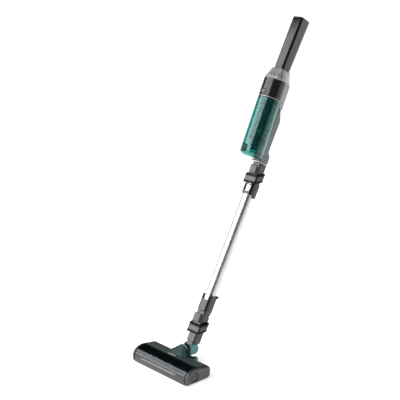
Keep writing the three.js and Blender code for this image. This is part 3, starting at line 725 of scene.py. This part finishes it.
def build_lock():
    """The round lock in the right end cap, with a grip bar and two finger dents."""
    rim = [(0, 114.2), (14.4, 114.2), (15.2, 115.2), (15.2, 121.2), (14.6, 122.2), (13.6, 122.6)]
    face = [(13.0, 122.5), (12.6, 121.9), (12.1, 121.8), (11.7, 122.3), (10.8, 122.5), (0, 122.5)]
    disc = turned("lock_disc", rim + face, WORLD, "X", BRUSH_AXIS, 128)
    bar = [(y + BRUSH_AXIS[1], z + BRUSH_AXIS[2]) for y, z in rounded(22, 3.2, 1.5)]
    grip = prism("grip", bar, 121.5, 123.9, WORLD, "X")
    bevelled(grip, 0.5)
    combine(disc, grip, "UNION")
    dent = [(0, 121.6), (2.6, 121.6), (3.4, 124), (0, 124)]
    for turn in (radians(65), radians(245)):
        centre = (0, BRUSH_AXIS[1] + 8.2 * cos(turn), BRUSH_AXIS[2] + 8.2 * sin(turn))
        combine(disc, turned("thumb", dent, WORLD, "X", centre, 40))
    dress(disc, LIT_CAP_GREY, "brush_lock", ["brush_lock"])


def build_latch():
    outline = [(x + 1, y + 7.5) for x, y in rounded(30, 5, 1.6)]
    bar = prism("latch_bar", outline, 45.4, 47.0, WORLD)
    dress(bar, SILVER, "window_latch", ["window_latch"], bevel=0.5)


def helix(x, radius, phase):
    """A point of a line wound round the brush."""
    turn = phase + 1.4 * pi * (x + 100) / 200
    return (x, BRUSH_AXIS[1] + radius * cos(turn), BRUSH_AXIS[2] + radius * sin(turn))


def add_tuft(vertices, faces, x, phase, lean, reach):
    """A leaning, tapered tuft of bristles: three squares on top of each other."""
    start = len(vertices)
    for radius, half, sway in ((14.6, 0.62, 0), (18, 0.5, lean / 2), (reach, 0.34, lean)):
        turn, wide = phase + sway, half / 20
        for dx, dt in ((-half, -wide), (half, -wide), (half, wide), (-half, wide)):
            vertices.append(helix(x + dx, radius, turn + dt))
    for a in (start, start + 4):
        faces += walls(range(a, a + 4), range(a + 4, a + 8))
    faces.append(tuple(start + k for k in (3, 2, 1, 0)))
    faces.append(tuple(start + 8 + k for k in (0, 1, 2, 3)))


def build_brush():
    half, tufts_per_lane, span = 103.4, 118, 198
    profile = [(0, -half), (13.2, -half), (14, 0.8 - half), (14, half - 0.8), (13.2, half), (0, half)]
    core = turned("roller_core", profile, WORLD, "X", BRUSH_AXIS, 72)
    dress(core, TEAL, "brush_roll", ["brush_core"])
    generator = random.Random(SEED)
    for phase, name in ((0.0, "a"), (pi, "b")):
        vertices, faces = [], []
        for lane in (-0.055, 0.0, 0.055):
            for k in range(tufts_per_lane):
                x = -span / 2 + span * k / (tufts_per_lane - 1)
                lean = generator.uniform(-0.03, 0.03)
                reach = generator.uniform(20.0, 20.8)
                add_tuft(vertices, faces, x, phase + lane, lean, reach)
        tufts = make("bristles_" + name, vertices, faces, WORLD)
        dress(tufts, BRISTLE, "brush_roll", ["bristle_strip_" + name], smooth=20)


def build_wheels():
    for side, name in ((-1, "left"), (1, "right")):
        low, high = sorted((side * 13.1, side * 20.9))
        near = [(2.3, low), (7.6, low), (8.4, low + 0.6), (9.6, low + 0.5), (10.3, low + 1.4)]
        far = [(10.3, high - 1.4), (9.6, high - 0.5), (8.4, high - 0.6), (7.6, high), (2.3, high)]
        tyre = near + [(10.5, low + 3.9)] + far
        wheel = turned("wheel_" + name, tyre, WORLD, "X", WHEEL_AXIS)
        dress(wheel, GREY, "rear_wheel_" + name, ["rear_wheel_" + name])
        low, high = side * 90 - 5.3, side * 90 + 5.3
        near = [(0, low), (3.6, low), (4.3, low + 0.8), (4.5, low + 2.6)]
        far = [(4.5, high - 2.6), (4.3, high - 0.8), (3.6, high), (0, high)]
        roller = turned("roller_" + name, near + far, WORLD, "X", (0, -35.2, 4.5), 48)
        dress(roller, RUBBER, "front_roller_" + name, ["front_roller_" + name])


def build_elbow():
    """The forked elbow between head and stick, its dark collar, its pin and the light ring."""
    around = across_neck(18.5, 61.4) + across_neck(17.9, 61.1)
    for x, radius in ((-20, 14.2), (-18.7, 15.5), (18.7, 15.5), (20, 14.2)):
        around += [(x, y, z) for y, z in circle(radius, *RECLINE_AXIS[1:])]
    elbow = skin("elbow", around, WORLD)
    spigot = [(0, 46), (14.6, 46), (15, 46.4), (15, 62.5), (0, 62.5)]
    combine(elbow, turned("spigot", spigot, WORLD, "Y", NECK_AXIS), "UNION")
    combine(elbow, block("fork_slot", (-13.2, 68.2, 20), (13.2, 110, 80), WORLD))
    bore = plug(12.3, 40, 75)
    combine(elbow, turned("bore", bore, WORLD, "Y", NECK_AXIS))
    hole = plug(3.2, -19.1, 19.1)
    combine(elbow, turned("pin_hole", hole, WORLD, "X", RECLINE_AXIS, 40))
    dress(elbow, TEAL, "elbow", ["steering_elbow"], bevel=0.7, angle=40)
    outside = [(15.4, 54.3), (19.9, 54.3), (20.6, 55.0), (20.6, 57.2), (20.2, 57.6), (20.6, 58.0)]
    lip = [(20.6, 65.2), (19.8, 66.4), (17.0, 66.4), (17.0, 60.95), (15.4, 60.95)]
    collar = turned("collar_ring", outside + lip, WORLD, "Y", NECK_AXIS)
    dress(collar, DARK, "elbow", ["swivel_collar"])
    pin = [(0, -19.0), (2.6, -19.0), (3.0, -18.6), (3.0, 18.6), (2.6, 19.0), (0, 19.0)]
    dress(turned("pin", pin, WORLD, "X", RECLINE_AXIS, 48), STEEL, "elbow", ["recline_pin"])
    trim = [(15.9, 52.4), (21.2, 52.4), (21.8, 52.9), (21.6, 53.5), (20.9, 53.75), (15.9, 53.75)]
    dress(turned("trim", trim, WORLD, "Y", NECK_AXIS), SILVER, "head", ["neck_trim_ring"])


build_bumper()
build_ribs()
build_window()
build_deck()
build_hump()
build_end(-1)
build_end(1)
build_lock()
build_latch()
build_brush()
build_wheels()
build_elbow()


# ---- neck, couplings and wand

COLLAR = (52.4, 35.9, 7.5, -2.25)  # width, depth, corner and y centre of both collars


def slanted_loop(width, depth, radius, cy, front, back, inset=0.0, rise=0.0):
    """A rounded rectangle whose height runs from a front value to a back value."""
    outline = rounded(width - 2 * inset, depth - 2 * inset, max(radius - inset, 0.8), 0, cy)
    near, far = cy - depth / 2, cy + depth / 2
    return [(x, y, front + (back - front) * (y - near) / (far - near) + rise) for x, y in outline]


def slanted_collar(name, shape, bottom, top, round_by):
    """A thick collar with slanted ends and soft edges."""
    loops = []
    arc = [k / 5 * pi / 2 for k in range(6)]
    for ends, way, turns in ((bottom, 1, arc), (top, -1, arc[::-1])):
        for t in turns:
            inset, rise = round_by * (1 - sin(t)), round_by * way * (1 - cos(t))
            loops.append(slanted_loop(*shape, *ends, inset, rise))
    return loft(name, loops, STICK)


def collar_bands(name, shape, bottom, top, room, body):
    """Dark rubber bands round both ends of a collar, standing a little proud of it."""
    width, depth, corner, cy = shape
    foot = ("foot", bottom, (0.0, 0.7, 7.8, 8.4))
    crown = ("crown", top, (-7.4, -6.8, -0.7, 0.0))
    for place_name, ends, rises in (foot, crown):
        loops = []
        for rise, inset in zip(rises, (0.7, 0.0, 0.0, 0.7)):
            extra = 0.9 if abs(rise) < 0.1 else 0.0
            loops.append(slanted_loop(width, depth, corner, cy, *ends, inset + extra - 0.25, rise))
        band = loft(name + "_" + place_name, loops, STICK)
        combine(band, prism("room", *room, STICK))
        dress(band, RUBBER, body, bevel=0.3, angle=45)


def column(name, width, depth, radius, cy, low, high, place, edge=0.8, taper=0.0):
    """An upright rounded bar with eased ends."""
    loops = []
    for z, inset in ((low, edge), (low + edge, 0.0), (high - edge, taper), (high, edge + taper)):
        outline = rounded(width - 2 * inset, depth - 2 * inset, max(radius - inset, 0.6), 0, cy)
        loops.append([(x, y, z) for x, y in outline])
    return loft(name, loops, place)


def build_neck():
    neck = column("neck", 34, 32, 6, 1, 19, 61, STICK, 1.2)
    root = column("root", 25.6, 27, 3, 0, -2, 22, STICK, 0.6)
    drum_profile = [(0, -12.8), (13.3, -12.8), (13.9, -12.2), (13.9, 12.2), (13.3, 12.8), (0, 12.8)]
    drum = turned("drum", drum_profile, STICK, "X", (0, 0, 0), 96)
    spigot = column("spigot", 28, 26, 6, 0, 58, 100, STICK, 0.6)
    for tool in (root, drum, spigot):
        combine(neck, tool, "UNION")
    pin_bore = plug(3.3, -20, 20)
    combine(neck, turned("pin_bore", pin_bore, STICK, "X", (0, 0, 0), 40))
    groove = []
    for z, size in ((54.2, 40), (54.8, 40), (54.8, 33.2), (54.2, 33.2)):
        groove.append(level(rounded(size, size - 2, 5, 0, 1), z))
    combine(neck, loft("groove", groove, STICK, ring=True))
    dress(neck, GREY, "neck", ["neck_pipe"], bevel=0.5, angle=40)


def build_lower_coupling():
    body = slanted_collar("lower_coupler", COLLAR, (44.3, 62.3), (72.7, 89.7), 2.6)
    room = (rounded(34.7, 32.7, 6.4, 0, 1), 30, 110)
    collar_bands("lower_collar", COLLAR, (44.1, 62.1), (72.9, 89.9), room, "wand")
    waist = column("waist", 34, 31, 5, 0.5, 70, 116.6, STICK, 0.9)
    combine(body, waist, "UNION")
    socket = column("socket", 34.7, 32.7, 6.4, 1, 40, 61.4, STICK, 0.1)
    combine(body, socket)
    combine(body, column("bore", 28.6, 26.6, 6, 0, 50, 100.4, STICK, 0.1))
    combine(body, block("button_bed", (-12.8, -30, 79.3), (12.8, -10, 107.6), STICK))
    combine(body, block("hook_notch", (6.5, 9.5, 103.5), (20, 18, 110.5), STICK))
    dress(body, GREY, "wand", ["lower_coupling"], bevel=0.5, angle=40)


def button(name, low, high, near, deep, lip, body, node):
    """A press button: a flat face with a rounded thumb lip at its top."""
    half = 12.3
    face = [(deep, low), (near + 0.6, low), (near, low + 1.2), (near, high - 4)]
    top = [(near - 0.1, high - 1.2), (near + 0.9, high + lip), (near + 2.4, high + lip * 0.8)]
    piece = prism(name, face + top + [(deep, high - 0.6)], -half, half, STICK, "X")
    dress(piece, GREY, body, [node], bevel=0.9, angle=25)


def build_sleeve():
    outer = []
    for z, inset in ((117.2, 0.8), (118, 0), (168.6, 0.3), (169.7, 1.1)):
        outer.append(level(rounded(40 - 2 * inset, 38 - 2 * inset, 12 - inset), z))
    inner = [level(rounded(34.9, 34.9, 17.4), z) for z in (169.7, 117.2)]
    sleeve = loft("sleeve", outer + inner, STICK, ring=True)
    mouth = [(-14, 155.5), (-11, 153), (11, 153), (14, 155.5), (16.8, 172), (-16.8, 172)]
    combine(sleeve, prism("mouth", mouth, -26, -5, STICK, "Y"))
    combine(sleeve, block("side_groove", (19.3, -3.4, 121), (21, -2.9, 166), STICK))
    dress(sleeve, GREY, "wand", ["wand_sleeve"], bevel=0.6, angle=40)
    tip = [(6.5, 166), (13.5, 164.5), (17.5, 171.5), (15.2, 173.4), (8, 171)]
    piece = prism("sleeve_tip", tip, -15.5, 20.2, STICK, "X")
    combine(piece, turned("tube_room", plug(17.5, 160, 180), STICK))
    dress(piece, DARK, "wand", bevel=0.7)


def build_tube():
    outside = [(17.1, 117.6), (17.1, 545.6), (16.9, 546), (16.1, 546)]
    inside = [(15.9, 545.6), (15.9, 117.6), (16.1, 117.3), (16.9, 117.3)]
    dress(turned("tube", outside + inside, STICK, steps=128), TUBE, "wand", ["wand_tube"])


def build_top_sleeve():
    outer = []
    for z, inset in ((497.2, 1.0), (498.2, 0.1), (506.5, 0.0)):
        outer.append(level(rounded(40 - 2 * inset, 36 - 2 * inset, 13 - inset), z))
    outer += [slanted_loop(40, 36, 13, 0, 529, 545.6), slanted_loop(38.2, 34.2, 12.1, 0, 530, 546.6)]
    inner = [slanted_loop(34.9, 34.9, 17.4, 0, 530, 546.6)]
    inner.append(level(rounded(34.9, 34.9, 17.4), 497.2))
    sleeve = loft("top_sleeve", outer + inner, STICK, ring=True)
    window = [(-14.2, 509.5), (-11.7, 507), (11.7, 507), (14.2, 509.5), (14.2, 526), (-14.2, 526)]
    combine(sleeve, prism("window_cut", window, -24, -5, STICK, "Y"))
    front = [(-2, 530), (-2, 494.5), (-0.4, 491.4), (2.4, 490.1)]
    back = [(7.6, 490.1), (10.4, 491.4), (12, 494.5), (12, 536)]
    tongue = prism("tongue", front + back, 17.5, 21.2, STICK, "X")
    bevelled(tongue, 0.8)
    combine(sleeve, tongue, "UNION")
    dress(sleeve, GREY, "wand", ["wand_top_sleeve"], bevel=0.5, angle=45)


def build_upper_coupling():
    body = slanted_collar("upper_coupler", COLLAR, (531.3, 548.3), (559.7, 575.7), 2.6)
    room = (circle(17.5), 520, 590)
    collar_bands("upper_collar", COLLAR, (531.1, 548.1), (559.9, 575.9), room, "handheld")
    waist = column("waist", 34, 31, 5, 0.5, 556, 599.6, STICK, 0.9)
    combine(body, waist, "UNION")
    bore = [(0, 520), (17.5, 520), (17.5, 547), (11.5, 549), (11.5, 600.5), (0, 600.5)]
    combine(body, turned("bore", bore, STICK))
    combine(body, block("button_bed", (-12.8, -30, 563.9), (12.8, -10, 591.6), STICK))
    combine(body, block("joint_line", (-20, 15.4, 589.6), (20, 20, 590.3), STICK))
    dress(body, GREY, "handheld", ["upper_coupling"], bevel=0.5, angle=40)


build_neck()
build_lower_coupling()
button("lower_button_cap", 80.0, 104.5, -24.9, -18.5, 2.3, "lower_button", "lower_release_button")
button("upper_button_cap", 564.6, 589.6, -23.3, -18.5, 0.4, "upper_button", "upper_release_button")
build_sleeve()
build_tube()
build_top_sleeve()
build_upper_coupling()


# ---- dust bin, motor body and shoulder

BIN_RADIUS = 36.2
BACK_Y = 6.2  # where the front of the motor body meets its back


def build_bin():
    outer = [(34.5, 5.4), (36.0, 5.4), (36.2, 5.7), (36.2, 176.6), (35.9, 178.2), (34.9, 179.6)]
    top = [(33.4, 180.5), (27.2, 181.0), (27.2, 179.0), (32.6, 178.6)]
    inner = [(33.9, 177.4), (34.3, 175.4), (34.3, 5.6)]
    cup = turned("bin_cup", outer + top + inner, BARREL, steps=144)
    combine(cup, block("inlet_hole", (-9.8, 20, 134), (9.8, 40, 166), BARREL))
    dress(cup, TEAL_CLEAR, "bin", ["dust_bin"], smooth=34)
    rim = [(35.3, 178.9), (36.1, 179.0), (36.2, 180.2), (35.6, 181.0), (34.4, 181.0), (34.3, 180.2)]
    dress(turned("bin_rim", rim, BARREL, steps=144), SILVER, "bin")
    lug = [(-41, 11.4), (-41, 16.4), (-39, 17), (-35.9, 17), (-35.9, 11)]
    for side, name in ((-1, "latch_ear_left"), (1, "latch_ear_right")):
        ear = prism(name, lug, side * 6.9, side * 9, BARREL, "X")
        dress(ear, TEAL_CLEAR, "bin", bevel=0.4)


def build_lid():
    outer = [(0, -8), (12, -8), (19, -7.6), (26, -6.2), (31, -4), (34.4, -1), (35.8, 1.6)]
    rim = [(36.2, 3.4), (36.2, 4.8), (34.3, 4.8), (34.2, 3.4)]
    inner = [(33.8, 2.1), (32.6, 0.2), (29.8, -2.1), (25.3, -4.1), (18.7, -5.4), (12, -5.8), (0, -5.8)]
    lid = turned("lid_bowl", outer + rim + inner, BARREL, steps=144)
    dress(lid, TEAL_CLEAR, "bin_lid", ["bin_lid"], smooth=34)


def build_shroud():
    """A perforated strainer: a net of small holes in a thin tube, with a flange on top."""
    around, rows, radius, wall = 84, 46, 20.9, 1.3
    low, high = 64.0, 172.0
    vertices, faces = [], []

    def ring_point(i, j, r):
        turn = 2 * pi * i / around
        vertices.append((r * cos(turn), r * sin(turn), low + (high - low) * j / rows))
        return len(vertices) - 1

    grid = {}
    for layer, r in ((0, radius), (1, radius - wall)):
        for j in range(rows + 1):
            for i in range(around):
                grid[layer, j, i] = ring_point(i, j, r)
    for j in range(rows):
        for i in range(around):
            n = (i + 1) % around
            holes = []
            for layer, r in ((0, radius), (1, radius - wall)):
                spots = ((j, i), (j, n), (j + 1, n), (j + 1, i))
                corners = [grid[layer, *spot] for spot in spots]
                shares = ((0.24, 0.24), (0.76, 0.24), (0.76, 0.76), (0.24, 0.76))
                holes.append([ring_point(i + u, j + v, r) for u, v in shares])
                faces += walls(corners, holes[-1])
            faces += walls(*holes)
    for j in (0, rows):
        faces += walls(*([grid[layer, j, i] for i in range(around)] for layer in (0, 1)))
    net = make("strainer", vertices, faces, BARREL)
    dress(net, DARK, "bin", ["cyclone_shroud"], smooth=50)
    foot = [(19.5, 58.2), (20.6, 58.2), (21.2, 59), (21.2, 63.9), (19.5, 63.9)]
    dress(turned("strainer_foot", foot, BARREL), DARK, "bin")
    cone = [(19.5, 172.1), (21.2, 172.1), (22.4, 173), (29.4, 175.2)]
    plate = [(30, 176), (30, 177.6), (29.4, 178), (19.5, 178)]
    dress(turned("strainer_flange", cone + plate, BARREL), DARK, "bin")
    under = [(19.4, 56.8), (22.6, 52.4), (25.8, 49.8), (26.6, 50.3)]
    over = [(26.2, 51.4), (23.2, 54.2), (20.8, 58.0), (19.4, 58.0)]
    dress(turned("strainer_skirt", under + over, BARREL), DARK, "bin")


def build_cone():
    outside = [(19.2, 57.4), (18.6, 54), (9.2, 17.0), (9.0, 16.2)]
    inside = [(7.2, 16.2), (7.4, 17.4), (16.8, 54), (17.4, 57.4)]
    dress(turned("cone", outside + inside, BARREL), DARK, "bin", ["cyclone_cone"])


def build_lid_latch():
    foot = [(-41.1, 1.5), (-40.2, -0.8), (-38.2, -0.9), (-37.7, 1.4)]
    top = [(-37.7, 21), (-37.7, 24.6), (-39.2, 24.9), (-41.1, 21)]
    piece = prism("latch_hook", foot + top, -6.4, 6.4, BARREL, "X")
    dress(piece, DARK, "lid_latch", ["lid_latch"], bevel=0.5, angle=25)


def arc_line(radius, start, stop, steps):
    turns = [start + (stop - start) * k / steps for k in range(steps + 1)]
    return [(radius * cos(t), radius * sin(t)) for t in turns]


def build_motor_housing():
    edge = asin(5.5 / BIN_RADIUS)
    outer = arc_line(BIN_RADIUS, pi - edge, 2 * pi + edge, 96)
    inner = arc_line(33.8, pi - edge, 2 * pi + edge, 96)
    shell = strip("motor_shell", outer, inner, 181.9, 237.9, BARREL, "Z")
    combine(shell, block("button_bed", (-7.4, -45, 187.0), (7.4, -25, 201.0), BARREL))
    for z in (205.5, 229.0):
        cut = []
        for radius, rise in ((38, 0), (38, 0.5), (35.8, 0.5), (35.8, 0)):
            cut.append(level(circle(radius, steps=96), z + rise))
        combine(shell, loft("ring_cut", cut, BARREL, ring=True))
    dress(shell, BLACK, "handheld", ["motor_housing"], bevel=0.35, angle=45)
    face = [(-33.2, 187.6), (-37.6, 187.9), (-38.3, 189.2), (-37.7, 199.6), (-37.0, 200.4)]
    press = prism("bin_button_cap", face + [(-33.2, 200.4)], -6.9, 6.9, BARREL, "X")
    dress(press, GREY, "bin_button", ["bin_release_button"], bevel=0.8, angle=25)


def back_outline(radius, steps):
    """The motor body's outline from above: a circle with a flat back."""
    return hull_outline(circle(radius, steps=steps) + rounded(40, 10, 4, 0, 45))


def build_rear_body():
    """The back of the motor body joined to the duct that runs down behind the bin."""
    edge, steps, inside = asin(BACK_Y / BIN_RADIUS), 72, 33.3
    turns = [edge + (pi - 2 * edge) * k / steps for k in range(steps + 1)]
    outer = radial(back_outline(BIN_RADIUS, 96), turns)
    inner = [(inside * cos(t), inside * sin(t)) for t in turns]
    upper = strip("rear_shell", outer, inner, 162.2, 237.9, BARREL, "Z")
    bevelled(upper, 1.6, 50)
    foot = [(-23.6, 604.2), (10.5, 604.2), (13.6, 606.4), (14.3, 609.5), (12.6, 629)]
    waist = [(9.5, 633), (4.2, 637), (1.2, 641), (0.2, 646), (0.2, 744)]
    top = [(-13.8, 770), (-13.8, 789), (-23.6, 789)]
    spine = prism("spine", foot + waist + top, -17.9, 17.9, STICK, "X")
    bevelled(spine, 3.2, 20)
    bin_room = turned("bin_room", plug(36.6, -12, 181.5), BARREL)
    combine(upper, spine, "UNION")
    combine(upper, bin_room)
    dress(upper, LIT_REAR_GREY, "handheld", ["rear_body"], bevel=0.3, angle=55)


def build_shoulder():
    """The light cone from the motor body to the handle, with a rim, a groove and nine slots."""
    turns = [2 * pi * k / 144 for k in range(144)]
    foot_z, head_z, head_y = 238.5, 887.4, -57.6
    to_stick = Matrix.Translation(BIN_FOOT) @ Matrix.Rotation(BIN_TILT, 4, "X")
    foot_flat = radial(back_outline(36.5, 144), turns, (0, 6))
    foot = [to_stick @ Vector((x, y, foot_z)) for x, y in foot_flat]
    head_flat = radial(rounded(48, 50, 14, 0, head_y), turns, (0, head_y))
    head = [Vector((x, y, head_z)) for x, y in head_flat]
    axis_low = to_stick @ Vector((0, 6, foot_z))
    axis_high = Vector((0, head_y, head_z))
    rim = ((0.0, 0.9), (0.02, 0.1), (0.13, 0.1), (0.15, 0.7), (0.17, 0.7))
    loops = []
    for share, inset in (*rim, (0.19, 0.15), (0.6, 0.0), (0.93, 0.0), (0.98, 0.8), (1.0, 2.2)):
        middle = axis_low.lerp(axis_high, share)
        loop = []
        for a, b in zip(foot, head):
            point = a.lerp(b, share)
            arm = point - middle
            loop.append(tuple(point - arm.normalized() * inset))
        loops.append(loop)
    piece = loft("shoulder", loops, STICK)
    piece.data.materials.append(SILVER)
    hub = STICK @ Matrix.Translation((0, -54, 0))
    core = [(0, 850), (26.5, 850), (24.5, 880), (0, 880)]
    for k in range(9):
        turn = radians(-158 + 17 * k)
        aim = hub @ Matrix.Rotation(turn + pi / 2, 4, "Z")
        tool = block("slot", (-1.1, -60, 858), (1.1, -20, 868.5), aim)
        combine(tool, turned("keep", core, hub, steps=48))
        # The slot floors take the dark plastic: painted shade standing in for the dark inside of open
        # vents.
        tool.data.materials.append(DARK)
        combine(piece, tool)
    dress(piece, SILVER, "handheld", ["vent_shoulder"], smooth=30)


def build_inlet_plate():
    piece = column("plate", 40, 40, 6, -5.2, 600.4, 603.6, STICK, 0.6)
    combine(piece, turned("hole", plug(11.5, 590, 610), STICK))
    dress(piece, SILVER, "handheld", ["inlet_plate"])


build_bin()
build_lid()
build_shroud()
build_cone()
build_lid_latch()
build_motor_housing()
build_rear_body()
build_shoulder()
build_inlet_plate()


# ---- handle


HANDLE_LENGTH = 168


def handle_loops(inset, shares):
    """Sections of the handle, which widens towards its top, at shares of its length."""
    loops = []
    for share, extra in shares:
        width = 36.5 + 3.5 * share - 2 * (inset + extra)
        depth = 41 + 3 * share - 2 * (inset + extra)
        outline = rounded(width, depth, 9 - inset - extra, 0, 0.35 * (1 - share))
        loops.append([(x, y, HANDLE_LENGTH * share) for x, y in outline])
    return loops


def build_handle():
    """The grip's shell and the lighter panel set into its back, which holds the switch."""
    shares = [(0.002, 0.4), (0.006, 0)] + [(k / 8, 0) for k in range(1, 8)]
    shares += [(0.993, 0), (0.998, 0.4)]
    inner = handle_loops(2.2, [(0.998, 0), (0.5, 0), (0.002, 0)])
    shell = loft("grip_shell", handle_loops(0, shares) + inner, HANDLE, ring=True)
    zone = [(4, -5), (40, -5), (40, 66), (17.5, 58), (12, 12)]
    combine(shell, prism("panel_zone", zone, -40, 40, HANDLE, "X"))
    dress(shell, BLACK, "handheld", ["handle_shell"], bevel=0.4, angle=45)
    panel = loft("panel", handle_loops(0.1, shares) + inner, HANDLE, ring=True)
    keep = [(4.5, -5), (40, -5), (40, 65.4), (17.9, 57.5), (12.5, 11.9)]
    combine(panel, prism("panel_keep", keep, -40, 40, HANDLE, "X"), "INTERSECT")
    combine(panel, block("switch_slot", (-5.2, 10, 28), (5.2, 30, 52), HANDLE))
    dress(panel, GREY, "handheld", ["switch_panel"], bevel=0.4, angle=45)


def build_handle_cap():
    loops = []
    for z, inset in ((168.4, 0.35), (169, 0.1), (170.0, 0.1), (170.9, 0.6), (171.4, 1.7)):
        loops.append(level(rounded(40 - 2 * inset, 44 - 2 * inset, 9 - inset), z))
    loops.append(level(rounded(30, 34, 6), 170.9))
    dress(loft("grip_end", loops, HANDLE), BLACK, "handheld", ["handle_end_cap"])


def build_switch():
    loops = []
    for y, inset in ((17.4, 0.0), (21.6, 0.0), (22.4, 0.8)):
        loops.append([(x, y, z) for x, z in rounded(9 - 2 * inset, 13.4 - 2 * inset, 1.4, 0, 35.2)])
    thumb = loft("slider", loops, HANDLE)
    for k in range(5):
        z = 31 + 2.1 * k
        combine(thumb, block("notch", (-3.6, 22.0, z), (3.6, 23, z + 0.8), HANDLE))
    dress(thumb, TEAL, "power_switch", ["power_switch"], bevel=0.25, angle=40)


build_handle()
build_handle_cap()
build_switch()


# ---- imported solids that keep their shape

for node, look, body, bevel in (
    ("head_base", DARK, "head", 0.5),
    ("rear_axle", STEEL, "head", 0.3),
    ("brush_motor", STEEL, "head", 0.6),
    ("drive_belt", RUBBER, "head", 0.2),
    ("brush_bearing_right", STEEL, "head", 0.3),
    ("brush_pulley", DARK, "brush_roll", 0.3),
    ("motor_pulley", TEAL, "motor_pulley", 0.3),
    ("lower_button_spring", STEEL, "wand", 0.15),
    ("upper_button_spring", STEEL, "handheld", 0.15),
    ("suction_motor", STEEL, "handheld", 0.6),
    ("motor_mount", RUBBER, "handheld", 0.5),
    ("exhaust_filter", FILTER, "handheld", 0.5),
    ("charge_contacts", BRASS, "handheld", 0.2),
    ("battery_pack", WRAP, "handheld", 1.5),
    ("control_board", BOARD, "handheld", 0.2),
    ("lid_hinge_pin", STEEL, "bin", 0.2),
    ("pleated_filter", FILTER, "bin", 0.3),
    ("lid_seal", RUBBER, "bin_lid", 0.2),
    ("fan", SILVER, "fan", 0.3),
):
    refined(node, look, body, bevel)
